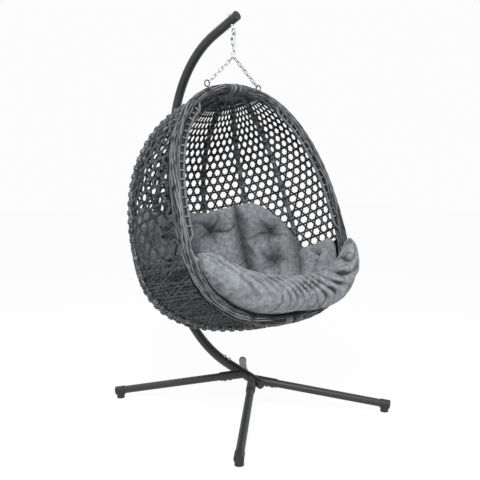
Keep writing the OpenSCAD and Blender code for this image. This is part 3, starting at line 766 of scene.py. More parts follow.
@dataclass(frozen=True)
class Weave:
    """Sizes of the canes, of the open cane pattern and of the close weave of the seat zone.

    Canes narrow with the span of the shell, times crowding, down to the share least_width. The
    names that end in points count the points of a cane: those of the open pattern to a column,
    and those of the close weave in all. The liner's are up the panel and across it.
    """

    row: float = 44.5
    column: float = 55.0
    width: float = 12.5
    thick: float = 2.2
    lift: float = 1.5
    row_points: int = 8
    slant_points: int = 14
    edge_gap: float = 1.0
    edge_most: float = 0.9
    hub_gap: float = 4.0
    crowding: float = 1.6
    least_width: float = 0.62
    dense_top: float = 365.0
    dense_pitch: float = 14.0
    dense_width: float = 0.68
    dense_margin: float = 20.0
    dense_lift: float = 1.6
    dense_wave: float = 46.0
    dense_drift: float = 0.3
    dense_shortest: float = 0.06
    dense_points: int = 26
    start_spread: float = 0.35
    slope_range: tuple = (0.6, 1.5)
    base_range: tuple = (-1.2, 1.6)
    liner_outer: float = 2.6
    liner_inner: float = 4.1
    liner_below: float = 6.0
    liner_side: float = 0.01
    liner_points: tuple = (40, 9)


@dataclass(frozen=True)
class CaneRun:
    """Canes of the close weave that run alike: slope, pitches apart, and extra depth."""

    slope: float
    pitch: float
    deep: float


CLOSE_WEAVE = (
    CaneRun(1.2, 2.2, 1.6),
    CaneRun(-1.2, 2.2, 1.6),
    CaneRun(0.16, 1.0, 0.0),
    CaneRun(-0.24, 1.15, 0.0),
)


@dataclass(frozen=True)
class WovenPanel:
    """One woven panel between two hoops: open cane above and a dense seat zone below.

    The open pattern is three-way cane work. Rows lie a row pitch apart along the hoops, and two
    families of slanted canes cross them half a column to each row. Places in the panel are q,
    from 0 at the left hoop to 1 at the right, and the arc along the middle hoop.
    """

    node: str
    left: float
    right: float
    left_half: float
    right_half: float
    shell: EggShell
    weave: Weave
    seed: int

    def theta(self, q: Array, level: Array) -> Array:
        """The direction of a place in the panel, between the edges of its two hoops.

        A hoop's edge lies off its middle by the angle whose sine is the hoop's half width, with
        a gap, over the shell's reach at that level.

        Args:
            q: Places across the panel, from 0 to 1.
            level: Levels on the shell, in radians.
        Returns:
            Directions from the back, in radians.
        """
        a, b = np.radians(self.left), np.radians(self.right)
        gap, most = self.weave.edge_gap, self.weave.edge_most
        r = self.shell.span(level)
        a = a + np.arcsin(np.clip((self.left_half + gap) / (r * self.shell.reach(a)), 0, most))
        b = b - np.arcsin(np.clip((self.right_half + gap) / (r * self.shell.reach(b)), 0, most))
        return lerp(a, b, q)

    def wide(self) -> float:
        """The panel's width at its widest level, between the middles of its two hoops."""
        middle = np.radians((self.left + self.right) / 2)
        return self.shell.reach(middle) * np.radians(self.right - self.left)

    def lay(self, surface: Surface, q: Array, arc: Array, off: Array, width: float) -> None:
        """Lays canes through places of the panel.

        Args:
            surface: The mesh that takes them.
            q: Places across, strands x points.
            arc: Distances along the hoops, of the same shape.
            off: Heights over the shell, of the same shape.
            width: Width of a cane where the panel is widest; it narrows where canes crowd.
        """
        level = self.shell.level_at_arc(arc)
        theta = self.theta(q, level)
        crowded = self.shell.span(level) * self.weave.crowding
        width = width * np.clip(crowded, self.weave.least_width, 1)
        path, normal = self.shell.at(theta, level, off), self.shell.normal(theta, level)
        surface.strands(path, normal, width, self.weave.thick)

    def slanted(self, surface: Surface, way: int, low: float, high: float, columns: int) -> None:
        """Lays one family of slanted canes of the open pattern.

        A cane runs q * columns = n + way * (1/4 + arc / 2 rows), cut to the panel and the zone.
        It rides over and under the rows as a cosine of the arc.

        Args:
            surface: The mesh that takes them.
            way: 1 for canes that rise to the right, -1 for the others.
            low: Arc at the bottom of the open zone.
            high: Arc at its top.
            columns: Columns of the pattern across the panel.
        """
        w = self.weave
        reach = int((high - low) / (2 * w.row)) + columns + 3
        shift = int(low / (2 * w.row))
        n = np.arange(-reach, reach + columns) - way * shift
        ends = way * ((np.array([0, columns])[:, None] - n) * 2 * w.row) - w.row / 2
        start = np.maximum(ends.min(0), low)
        stop = np.minimum(ends.max(0), high)
        keep = stop - start > w.row / 3
        n, start, stop = n[keep], start[keep], stop[keep]
        along = np.linspace(0, 1, w.slant_points * columns)
        arc = lerp(start[:, None], stop[:, None], along)
        q = (n[:, None] + way * (0.25 + arc / (2 * w.row))) / columns
        off = -way * w.lift * np.cos(2 * np.pi * arc / w.row)
        self.lay(surface, q, arc, off, w.width)

    def rows(self, surface: Surface, low: float, high: float, columns: int) -> None:
        """Lays the level canes of the open pattern, over one slanted family, under the other.

        Args:
            surface: The mesh that takes them.
            low: Arc at the bottom of the zone.
            high: Arc at its top.
            columns: Columns of the pattern across the panel.
        """
        w = self.weave
        m = np.arange(np.ceil(low / w.row), np.floor(high / w.row) + 1)
        q = np.linspace(0, 1, columns * w.row_points)[None]
        arc = m[:, None] * w.row + 0 * q
        off = w.lift * np.cos(2 * np.pi * (q * columns - 0.25 - m[:, None] / 2))
        self.lay(surface, q + 0 * arc, arc, off, w.width)

    def dense(self, surface: Surface, low: float, high: float) -> None:
        """Lays the close weave of the seat zone: nearly level canes over a few steep ones.

        A cane's arc is its start plus its slope times the distance across the panel. Its height
        waves over and under with a cosine of its own phase. Between the level canes stay long
        dark gaps.

        Args:
            surface: The mesh that takes them.
            low: Arc at the bottom of the zone.
            high: Arc at its top.
        """
        w, wide = self.weave, self.wide()
        rng = np.random.default_rng(SEED + self.seed)
        for run in CLOSE_WEAVE:
            margin = abs(run.slope) * wide / 2 + w.dense_margin
            start = np.arange(low - margin, high + margin, w.dense_pitch * run.pitch)
            count = len(start)
            start = start + rng.uniform(-w.start_spread, w.start_spread, count) * w.dense_pitch
            slopes = run.slope * rng.uniform(*w.slope_range, count)
            bounds = (np.array([low, high])[:, None] - start) / (slopes * wide) + 0.5
            first = np.clip(bounds.min(0), 0, 1)
            last = np.clip(bounds.max(0), 0, 1)
            keep = last - first > w.dense_shortest
            start, slopes, first, last = (v[keep, None] for v in (start, slopes, first, last))
            q = lerp(first, last, np.linspace(0, 1, w.dense_points))
            arc = start + slopes * wide * (q - 0.5)
            phase = rng.uniform(0, 2 * np.pi, start.shape)
            base = rng.uniform(*w.base_range, start.shape) - run.deep
            wave = 2 * np.pi * (q * wide + arc * w.dense_drift) / w.dense_wave + phase
            off = base + w.dense_lift * np.cos(wave)
            self.lay(surface, q, arc, off, w.width * w.dense_width)

    def liner(self, surface: Surface, low: float, high: float) -> None:
        """Backs the seat zone with a closed sheet 1.5 mm thick, behind its canes, in the darkest
        tone: painted shade that shows black through the gaps.

        Args:
            surface: The mesh that takes it.
            low: Arc at the bottom of the zone.
            high: Arc at its top.
        """
        up, across = self.weave.liner_points
        side = self.weave.liner_side
        arc = np.linspace(low, high, up)[:, None]
        q = np.linspace(side, 1 - side, across)[None]
        level = self.shell.level_at_arc(arc) + 0 * q
        theta = self.theta(q + 0 * arc, level)
        outer = self.shell.at(theta, level, -self.weave.liner_outer)
        inner = self.shell.at(theta, level, -self.weave.liner_inner)
        rings = np.concatenate([outer, inner[:, ::-1]], 1)[None]
        # Painted shade: marks of 0 give the sheet the darkest tone of the cane, so the gaps show
        # black.
        surface.add(rings, np.zeros(rings.shape))

    def build(self) -> None:
        """Weaves the panel and puts it in place of its CAD solid."""
        shell, w = self.shell, self.weave
        name = "woven" + self.node.removeprefix("weave")
        surface = Surface(name, Slot.WOVEN_WICKER, self.seed)
        middle = np.radians((self.left + self.right) / 2)
        ends = [shell.level_at_radius(middle, shell.hub_radius + w.hub_gap, e) for e in (-1, 1)]
        bottom, top = (float(shell.arc_at_level(end)) for end in ends)
        divide = float(shell.arc_at_level(shell.level_at_height(w.dense_top)))
        across = self.wide() - self.left_half - self.right_half
        columns = max(3, round(across / w.column))
        self.rows(surface, divide, top, columns)
        self.slanted(surface, 1, divide, top, columns)
        self.slanted(surface, -1, divide, top, columns)
        self.dense(surface, bottom, divide)
        self.liner(surface, bottom, divide - w.liner_below)
        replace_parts(surface.build(shell), self.node)


@dataclass(frozen=True)
class WrappedHoop:
    """A steel hoop wrapped in cane: a core, canes braided along it and lashings round it.

    It lies at one direction theta of the shell, from the radius inner at the bottom to the same
    radius at the top. Its section is an oval with half axes half_b sideways and half_t outward.
    """

    node: str
    theta: float
    inner: float
    shell: EggShell
    weave: Weave
    seed: int
    half_b: float = 13.0
    half_t: float = 13.0
    core_inset: float = 5.5
    strands: int = 5
    strand_width: float = 6.5
    strand_thick: float = 2.2
    crossing: float = 70.0
    braid_lift: float = 1.1
    wander: float = 0.1
    wander_run: float = 60.0
    tie_thick: float = 2.4
    tie_pitch: float = 0.96
    tie_points: int = 25
    spine_points: int = 3000

    def ends(self) -> Array:
        """The levels of the hoop's two ends."""
        t = np.radians(self.theta)
        return np.array([self.shell.level_at_radius(t, self.inner, e) for e in (-1, 1)], float)

    def spine(
        self, count: int | None = None, low: float = 0, high: float = 1
    ) -> tuple[Array, Array, Array, Array]:
        """The hoop's centre line, evenly spaced along its length.

        Args:
            count: Number of points, or none for as many as the line is measured with.
            low: Share of the length at which it starts.
            high: Share of the length at which it ends.
        Returns:
            The points, the outward and sideways unit vectors there, and the run in millimetres.
        """
        t = np.radians(self.theta)
        level = np.linspace(*self.ends(), self.spine_points)
        line = self.shell.at(np.full(level.shape, t), level)
        run = run_along(line)
        s = np.linspace(low, high, count or self.spine_points) * run[-1]
        points = read_along(s, run, line)
        along = unit(np.gradient(points, axis=0))
        side = np.broadcast_to([np.cos(t), -np.sin(t), 0], points.shape)
        up = unit(np.cross(along, side))
        away = np.einsum("ij,ij->i", up, points - [0, 0, self.shell.low_height])
        return points, up * np.sign(away)[:, None], side, s

    def oval(
        self, frame_at: Sequence[Array], angle: Array, swell: Array | float, shift: float = 0
    ) -> tuple[Array, Array]:
        """Points and normals round the hoop's section, moved off it by swell.

        A point lies (half_b + swell) cos to the side and (half_t + swell) sin + shift outward.
        The normal has the shares cos / half_b and sin / half_t.

        Args:
            frame_at: The spine's points, outward and sideways vectors.
            angle: Angles round the section.
            swell: Height over the oval, of the same shape or one value.
            shift: How far the section stands off outward.
        Returns:
            Points and unit normals, each of the shape of angle x 3.
        """
        spine, out, side = frame_at
        x = ((self.half_b + swell) * np.cos(angle))[..., None]
        y = ((self.half_t + swell) * np.sin(angle) + shift)[..., None]
        c, s = np.cos(angle)[..., None], np.sin(angle)[..., None]
        return spine + x * side + y * out, unit(c / self.half_b * side + s / self.half_t * out)

    def core(self, surface: Surface, sides: int = 16, rings: int = 140) -> None:
        """Adds the plain core, inset under the canes.

        Args:
            surface: The mesh that takes it.
            sides: Points round the core.
            rings: Sections along it.
        """
        angle = np.linspace(0, 2 * np.pi, sides, endpoint=False)[:, None] + np.zeros(rings)
        point, _ = self.oval(self.spine(rings)[:3], angle, -self.core_inset)
        tube = np.swapaxes(point, 0, 1)[None]
        surface.add(tube, np.zeros(tube.shape))

    def braid(self, surface: Surface, count: int = 190) -> None:
        """Lays two families of canes along the hoop that cross at long pitches.

        A cane winds by one strand's spacing in each crossing length, one family each way round,
        and rides over and under the other as a cosine of the run.

        Args:
            surface: The mesh that takes them.
            count: Points along each cane.
        """
        *frame_at, s = self.spine(count)
        start = np.arange(self.strands)[:, None] * 2 * np.pi / self.strands
        rate = 2 * np.pi / self.strands / self.crossing
        rng = np.random.default_rng(SEED + self.seed)
        phases = rng.uniform(0, 2 * np.pi, (2, self.strands, 1))
        base = -self.strand_thick / 2 - self.braid_lift
        for way, phase in zip((1, -1), phases):
            drift = self.wander * np.sin(s / self.wander_run + phase)
            angle = start + way * rate * s + drift
            swell = base + way * self.braid_lift * np.cos(self.strands * rate * s)
            point, normal = self.oval(frame_at, angle, swell + 0 * angle)
            surface.strands(point, normal, self.strand_width, self.strand_thick)

    def lashings(
        self,
        surface: Surface,
        places: Array,
        turns: int,
        swell: float,
        width: float,
        shift: float = 0,
    ) -> None:
        """Ties rings of cane round the hoop.

        Args:
            surface: The mesh that takes them.
            places: Shares of the hoop's length at which a tie stands.
            turns: Turns in each tie, side by side.
            swell: Height of the ties over the oval.
            width: Width of the cane.
            shift: How far the ties stand off outward.
        """
        *rows, s = self.spine()
        turn = np.arange(turns) - (turns - 1) / 2
        at = (places[:, None] * s[-1] + turn * width * self.tie_pitch).ravel()
        frame_at = [read_along(at, s, row)[:, None] for row in rows]
        angle = np.linspace(0, 2 * np.pi, self.tie_points)[None] + 0 * at[:, None]
        path, normal = self.oval(frame_at, angle, swell, shift)
        surface.strands(path, normal, width, self.tie_thick)

    def row_places(self, margin: float) -> Array:
        """Shares of the hoop's length where the rows of the weave meet it, margin off its ends.

        Args:
            margin: Length at each end that stays free of places.
        Returns:
            Shares from 0 to 1.
        """
        shell, row = self.shell, self.weave.row
        spine, _, _, s = self.spine()
        arc = shell.arc_at_level(shell.level_at_height(spine[:, 2]))
        rows = np.arange(np.ceil(arc[0] / row), np.floor(arc[-1] / row) + 1)
        run = np.interp(rows * row, arc, s)
        return run[(run > margin) & (run < s[-1] - margin)] / s[-1]


@dataclass(frozen=True)
class Rib(WrappedHoop):
    """A back rib: canes along a thin tube, tied where each row of the weave meets it."""

    tie_margin: float = 20.0
    tie_turns: int = 3
    tie_swell: float = 1.8
    tie_width: float = 6.5
    tie_shift: float = 2.0

    def build(self) -> None:
        """Wraps the rib and puts it in place of its CAD solid."""
        surface = Surface("wrapped_" + self.node, Slot.WRAPPED_WICKER, self.seed)
        self.core(surface)
        self.braid(surface)
        places = self.row_places(self.tie_margin)
        tie = self.tie_turns, self.tie_swell, self.tie_width, self.tie_shift
        self.lashings(surface, places, *tie)
        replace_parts(surface.build(self.shell), self.node)


@dataclass(frozen=True)
class RimHalf(WrappedHoop):
    """Half of the rim: a broad braid of canes, with a cord laced along its inner side."""

    half_b: float = 32.0
    half_t: float = 22.0
    core_inset: float = 4.5
    strands: int = 12
    strand_width: float = 5.6
    strand_thick: float = 3.4
    crossing: float = 120.0
    braid_lift: float = 1.3
    top_wraps: int = 8
    low_wraps: int = 6
    wrap_width: float = 8.0
    wrap_swell: float = 0.2
    cord_radius: float = 6.0
    cord_gap: float = 16.0
    cord_front: float = 10.0
    cord_from: float = 385.0
    cord_to: float = 1095.0
    cord_bed: float = 3.0
    tuck: float = 0.07
    shade_ribbon_thick: float = 2.0
    lace_width: float = 8.0
    lace_slack: float = 1.5
    lace_spread: float = 2.0
    lace_points: int = 17
    cord_sides: int = 10

    def edge(self, surface: Surface, count: int = 200) -> None:
        """Lays a cord along the rim's inner side over the arms, and laces it to the rim.

        A ribbon of the darkest tone fills the gap between them as painted shade, and a tie loops
        round cord and ribbon at each row of the weave. Both ends of the cord and the ribbon tuck
        in among the rim's canes.

        Args:
            surface: The mesh that takes them.
            count: Points along the cord.
        """
        whole, _, _, s = self.spine()
        low, high = np.interp([self.cord_from, self.cord_to], whole[:, 2], s) / s[-1]
        spine, out, side, _ = self.spine(count, low, high)
        line = spine + np.sign(self.theta) * self.cord_front * side
        near = self.half_t - self.cord_bed
        far = self.half_t + self.cord_gap + self.cord_radius
        wide = 2 * self.cord_radius
        share = np.linspace(0, 1, count)
        tuck = ramp(share, 0, self.tuck) * ramp(1 - share, 0, self.tuck)
        reach = lerp(near - wide, far, tuck)[:, None]
        cord = line - reach * out
        surface.strands(cord[None], side[None], wide, wide, self.cord_sides, (0.5, 0.6))
        # Painted shade: a ribbon of the darkest tone fills the gap between the rim and the cord.
        ribbon = line - (near + reach) / 2 * out
        shade_ribbon_wide = np.maximum(reach.T - near, 1)
        surface.strands(ribbon[None], side[None], shade_ribbon_wide, self.shade_ribbon_thick, tone=(0, 0))
        at = (self.row_places(0) - low) / (high - low)
        at = at[(at > self.tuck) & (at < 1 - self.tuck)] * (count - 1)
        rows = (line, out, side)
        line, out, side = (read_along(at, np.arange(count), row)[:, None] for row in rows)
        a = np.linspace(0, 2 * np.pi, self.lace_points)[None, :, None]
        half = (far + self.cord_radius - near) / 2 + self.lace_slack
        inward = near + half + half * np.cos(a)
        path = line - inward * out + (self.cord_radius + self.lace_spread) * np.sin(a) * side
        normal = unit(np.sin(a) * side - np.cos(a) * out)
        surface.strands(path, normal, self.lace_width, self.tie_thick, tone=(0.5, 1))

    def build(self) -> None:
        """Wraps the half rim and puts it in place of its CAD solid."""
        surface = Surface("wrapped_" + self.node, Slot.WRAPPED_WICKER, self.seed)
        self.core(surface)
        self.braid(surface)
        self.edge(surface)
        length = self.spine()[3][-1]
        for end, wraps in ((0, self.low_wraps), (1, self.top_wraps)):
            tie = (wraps * self.wrap_width / 2 + 1) / length
            place = np.array([abs(end - tie)])
            self.lashings(surface, place, wraps, self.wrap_swell, self.wrap_width)
        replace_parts(surface.build(self.shell), self.node)


@dataclass(frozen=True)
class Gather:
    """Canes wound over a half-round plate where the ribs meet, at the basket's top or bottom."""

    node: str
    end: int
    shell: EggShell
    seed: int
    half_height: float = 18.0
    front: float = 35.0
    nearest: float = 30.0
    overhang: float = 3.0
    canes: int = 27
    cane_width: float = 9.0
    cane_thick: float = 2.6
    cane_points: int = 33
    half_angle: float = 62.0
    rings: tuple = (52.0, 68.0, 82.0)
    ring_width: float = 7.0
    ring_thick: float = 2.4
    ring_lift: float = 1.5
    ring_points: int = 40

    def build(self) -> None:
        """Winds each cane out over the plate's edge and back under it, and binds them.

        A cane runs round an ellipse in its own upright plane through the basket's axis. The
        rings are arcs round that axis, above and below the canes.
        """
        surface = Surface("gathered_" + self.node, Slot.WRAPPED_WICKER, self.seed)
        hub = self.shell.hub_radius
        z = float(self.shell.height(self.shell.level_at_radius(0, hub, self.end)))
        theta = np.radians(np.linspace(-self.half_angle, self.half_angle, self.canes))[:, None]
        near = np.maximum(self.front / np.cos(theta), self.nearest)
        far = hub + self.overhang
        a = np.linspace(0, 2 * np.pi, self.cane_points)[None]
        across, ahead = np.sin(theta), np.cos(theta)
        r = (near + far) / 2 + (far - near) / 2 * np.cos(a)
        tall = z + self.half_height * np.sin(a) + 0 * theta
        path = np.stack([r * across, r * ahead, tall], -1)
        normal = np.stack([np.cos(a) * across, np.cos(a) * ahead, np.sin(a) + 0 * theta], -1)
        surface.strands(path, normal, self.cane_width, self.cane_thick, tone=(0.1, 0.9))
        turn = np.linspace(-self.half_angle, self.half_angle, self.ring_points)
        turn = np.radians(turn)[None]
        for radius in self.rings:
            for way in (-1, 1):
                lift = z + way * (self.half_height + self.ring_lift) + 0 * turn
                ring = np.stack([radius * np.sin(turn), radius * np.cos(turn), lift], -1)
                up = np.broadcast_to([0.0, 0.0, float(way)], ring.shape)
                surface.strands(ring, up, self.ring_width, self.ring_thick, tone=(0.2, 1))
        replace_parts(surface.build(self.shell), self.node)


# ---- Cushion ----


@dataclass(frozen=True)
class Stuffing:
    """Fills a sewn cover by cloth simulation: pressure swells it between what holds it."""

    voxel: float
    swell: float
    pressure: float = 4.0
    growth: float = 0.06
    frames: int = 20

    def seen(self, cover: bpy.types.Object) -> bpy.types.Mesh:
        """A copy of the cover's mesh as its modifiers leave it.

        Args:
            cover: The cover's object.
        Returns:
            The new mesh.
        """
        finished = cover.evaluated_get(bpy.context.evaluated_depsgraph_get())
        return bpy.data.meshes.new_from_object(finished)

    def places(self, mesh: bpy.types.Mesh) -> Array:
        """The mesh's points, in basket millimetres.

        Args:
            mesh: The mesh.
        Returns:
            One row for each point.
        """
        flat = np.empty(3 * len(mesh.vertices), np.float32)
        mesh.vertices.foreach_get("co", flat)
        return flat.reshape(-1, 3).astype(float) / MM

    def blow(self, cover: bpy.types.Object, held: Array) -> Array:
        """Runs the simulation.

        Args:
            cover: The even cover.
            held: Whether each point is held.
        Returns:
            The points where the cloth comes to rest.
        """
        group = cover.vertex_groups.new(name="held")
        group.add(np.flatnonzero(held).tolist(), 1.0, "REPLACE")
        cloth = cover.modifiers.new("cloth", "CLOTH")
        cloth.point_cache.frame_start, cloth.point_cache.frame_end = 1, self.frames
        cloth.settings.use_pressure = True
        cloth.settings.uniform_pressure_force = self.pressure
        cloth.settings.shrink_min = -self.growth
        cloth.settings.vertex_group_mass = group.name
        cloth.settings.effector_weights.gravity = 0
        for step in range(1, self.frames + 1):
            bpy.context.scene.frame_set(step)
        swollen = self.places(self.seen(cover))
        bpy.context.scene.frame_set(1)
        return swollen

    def fill(self, points: Array, held: Callable[[Array], Array]) -> tuple[Array, Array]:
        """Remeshes a closed cover evenly and swells it, with a cap on how far a point moves.

        Args:
            points: The cover as sections x points x 3, in basket millimetres.
            held: Tells for each point whether a stitch or a neighbour holds it.
        Returns:
            The swollen points in basket millimetres, and rows of four point numbers.
        """
        flat = points.reshape(-1, 3)
        mesh = bpy.data.meshes.new("cover")
        mesh.from_pydata(flat * MM, [], outward(flat, tube_quads(1, *points.shape[:2])))
        cover = bpy.data.objects.new("cover", mesh)
        bpy.context.scene.collection.objects.link(cover)
        even = cover.modifiers.new("even", "REMESH")
        even.mode, even.voxel_size = "VOXEL", self.voxel * MM
        mesh = self.seen(cover)
        cover.modifiers.clear()
        cover.data = mesh
        corners = np.empty(len(mesh.loops), np.int32)
        mesh.loops.foreach_get("vertex_index", corners)
        start = self.places(mesh)
        move = self.blow(cover, held(start)) - start
        length = np.linalg.norm(move, axis=1, keepdims=True)
        start = start + move * np.minimum(1, self.swell / np.maximum(length, 1e-6))
        bpy.data.objects.remove(cover)
        return start, corners.reshape(-1, 4)


def padded_piece(
    name: str, points: Array, quads: Array, crease: Array, node: str
) -> None:
    """Makes a smooth cushion piece from stuffed points, in place of its CAD solid.

    Args:
        name: Name of the piece.
        points: Points in the chair's frame, in metres.
        quads: Rows of four point numbers.
        crease: How deep in a crease each point lies, from 0 to 1: the share of painted shade in
            the fabric's colour there.
        node: The CAD node that it stands for.
    """
    piece = make_piece(name, points, quads, Slot.CUSHION_FABRIC)
    # The crease attribute sets how much painted shade the fabric mixes in at each point.
    mark = piece.data.attributes.new("crease", "FLOAT", "POINT")
    mark.data.foreach_set("value", crease.astype(np.float32))
    smooth = piece.modifiers.new("smooth", "SUBSURF")
    smooth.levels = smooth.render_levels = 1
    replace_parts(piece, node)


@dataclass(frozen=True)
class SeatPads:
    """The tufted seat and back pads against the inside of the shell.

    Angles are degrees from the back, and heights stand over the bottom of the rim. A pair of
    heights, angles or distances is where a change begins and where it is complete. A tuft is
    given by its angle and height, and stands on both sides of the middle.
    """

    shell: EggShell
    spread: float = 86.0
    inner_radius: float = 8.0
    gap: float = 13.8
    rim_gap: float = 27.0
    rim_leaving: tuple = (34.0, 64.0)
    thick: float = 104.0
    edge_thick: float = 80.0
    thinning: tuple = (300.0, 640.0)
    side_thinner: float = 0.2
    side_from: float = 70.0
    top: float = 732.0
    arm_top: float = 374.0
    step: tuple = (36.0, 58.5)
    step_powers: tuple = (1.8, 0.75)
    round_share: float = 0.14
    round_least: float = 0.04
    row_power: float = 1.3
    channels: tuple = (0.0, 28.7, 57.3)
    crease_thick: float = 14.0
    channel_half: float = 84.0
    channel_half_top: float = 34.0
    channel_narrowing: tuple = (560.0, 712.0)
    channel_start: tuple = (60.0, 240.0)
    seam_rise: float = 8.0
    seam_angle: float = 3.0
    depth_share: float = 0.75
    tufts: tuple = ((14.3, 600), (44, 520), (43, 350), (14.3, 350), (79, 236))
    tuft_half: float = 118.0
    folds: float = 5.0
    fold_turn: float = 1.9
    fold_bend: float = 0.6
    fold_wave: float = 34.0
    fold_half: float = 42.0
    fold_share: float = 0.8
    fold_reach: float = 100.0
    cusp: float = 0.62
    stitch: float = 6.0
    stitch_from: float = 150.0
    button: float = 10.0
    wall_depth: float = 12.0
    base_top: float = 60.0
    fill: float = 0.7
    stuffing: Stuffing = Stuffing(voxel=9.0, swell=13.0)

    def degree(self) -> float:
        """Millimetres to a degree, at a share of the shell's depth."""
        return np.radians(1) * self.shell.depth * self.depth_share

    def pinch(self, distance: Array, half: Array | float) -> Array:
        """How full the pads are beside a crease: a quarter sine wave to a power below 1."""
        return np.sin(np.pi / 2 * np.clip(distance / half, 0, 1)) ** self.cusp

    def from_tufts(self, theta: Array, z: Array) -> list[tuple[Array, Array]]:
        """Distance in millimetres and direction of places from each tuft.

        Args:
            theta: Angles from the back, in degrees.
            z: Heights over the bottom of the rim, in millimetres.
        Returns:
            For each tuft, the distances and the directions in radians.
        """
        across = [(np.abs(theta) - a) * self.degree() for a, _ in self.tufts]
        above = [z - h for _, h in self.tufts]
        return [(np.hypot(u, w), np.arctan2(w, u)) for u, w in zip(across, above)]

    def fullness(self, theta: Array, z: Array) -> Array:
        """How full the pads are, from 0 in a crease to 1 where the stuffing is thickest.

        Beside each crease the cover is sharp in the crease and round on top, as pinch says.
        Channels and tufts pinch it wholly, and the folds that run out from a tuft in part, less
        the further they run.

        Args:
            theta: Angles from the back, in degrees.
            z: Heights over the bottom of the rim, in millimetres.
        Returns:
            Values from 0 to 1.
        """
        full = 1.0
        narrower = ramp(z, *self.channel_narrowing)
        half = lerp(self.channel_half, self.channel_half_top, narrower)
        for c in self.channels:
            beside = self.pinch(np.abs(np.abs(theta) - c) * self.degree(), half)
            full = full * lerp(1, beside, ramp(z, *self.channel_start))
        for i, (r, turn) in enumerate(self.from_tufts(theta, z)):
            bend = self.fold_bend * np.sin(r / self.fold_wave + 2 * i)
            swing = np.sin(self.folds / 2 * turn + self.fold_turn * i + bend)
            share = self.fold_share * np.exp(-((r / self.fold_reach) ** 2))
            fold = 1 - share * (1 - self.pinch(np.abs(swing) * r, self.fold_half))
            full = full * self.pinch(r, self.tuft_half) * fold
        return full

    def depth(self, theta: Array, z: Array) -> Array:
        """Thickness of the pads: from that of a crease to that of the body, by the fullness.

        Args:
            theta: Angles from the back, in degrees.
            z: Heights over the bottom of the rim, in millimetres.
        Returns:
            Thicknesses in millimetres.
        """
        side = 1 - self.side_thinner * ramp(np.abs(theta), self.side_from, self.spread)
        body = lerp(self.thick, self.edge_thick, ramp(z, *self.thinning)) * side
        return lerp(self.crease_thick, body, self.fullness(theta, z))

    def edge(self, theta: Array) -> Array:
        """Height of the pads' upper edge.

        It falls from the back to the arms as 1 - u^1.8 to the power 0.75 of the share u of the
        step, and rises to a point at each channel.

        Args:
            theta: Angles from the back, in degrees.
        Returns:
            Heights over the bottom of the rim, in millimetres.
        """
        points = sum(np.exp(-np.abs(np.abs(theta) - c) / self.seam_angle) for c in self.channels)
        u = np.clip((np.abs(theta) - self.step[0]) / (self.step[1] - self.step[0]), 0, 1)
        flat, steep = self.step_powers
        return lerp(self.arm_top, self.top, (1 - u**flat) ** steep) + self.seam_rise * points

    def points(self, across: int = 330, up: int = 130) -> Array:
        """Points of the cover as sections x points x 3, each section up and down the pads.

        Both faces stand off the middle of the pads by half their depth, times a quarter circle
        that rounds the upper edge.

        Args:
            across: Sections from the left arm to the right one.
            up: Points up each face.
        Returns:
            The points, in the basket's frame.
        """
        shell = self.shell
        theta = np.linspace(-self.spread, self.spread, across)[:, None]
        t = np.radians(theta)
        v = 1 - np.linspace(0, 1, up)[None] ** self.row_power
        bottom = shell.level_at_radius(t, self.inner_radius, -1)
        level = lerp(bottom, shell.level_at_height(self.edge(theta)), v)
        near = ramp(shell.span(level) * shell.reach(t) * np.cos(t), *self.rim_leaving)
        gap = lerp(self.rim_gap, self.gap, near)
        past = np.clip(v - (1 - self.round_share), 0, 1) / self.round_share
        full = np.sqrt(np.clip(1 + self.round_least - past**2, self.round_least, 1))
        deep = self.depth(theta, shell.height(level))
        faces = [shell.at(t, level, -gap - deep / 2 * (1 + way * full)) for way in (-1, 1)]
        return np.concatenate([faces[0][:, ::-1], faces[1]], 1)

    def held(self, points: Array) -> Array:
        """Which points of the cover are held: its outer face, the channels and the buttons.

        Args:
            points: Points in the basket's frame, in millimetres.
        Returns:
            True for each point that is held.
        """
        x, y, z = np.moveaxis(points, -1, 0)
        theta = np.degrees(np.arctan2(x, y))
        gap = lerp(self.rim_gap, self.gap, ramp(y, *self.rim_leaving))
        wall = self.shell.depth_under(points) < gap + self.wall_depth
        around = np.radians(1) * np.hypot(x, y)
        seam = np.min([np.abs(np.abs(theta) - c) * around for c in self.channels], 0)
        button = np.min([r for r, _ in self.from_tufts(theta, z)], 0)
        sewn = (seam < self.stitch) & (z > self.stitch_from) | (button < self.button)
        return wall | sewn | (z < self.base_top)

    def creases(self, points: Array) -> Array:
        """How deep in a crease each point lies: 1 less its fullness, which sets the painted shade
        of the fabric there.
        """
        x, y, z = np.moveaxis(points, -1, 0)
        return 1 - self.fullness(np.degrees(np.arctan2(x, y)), z)

    def build(self) -> None:
        """Stuffs the pads and puts them in place of their CAD solid."""
        points, quads = self.stuffing.fill(self.points(), self.held)
        # crease: the share of painted shade that the fabric takes at each point.
        placed, crease = self.shell.place(points), self.creases(points)
        padded_piece("tufted_pads", placed, quads, crease, "seat_cushion")


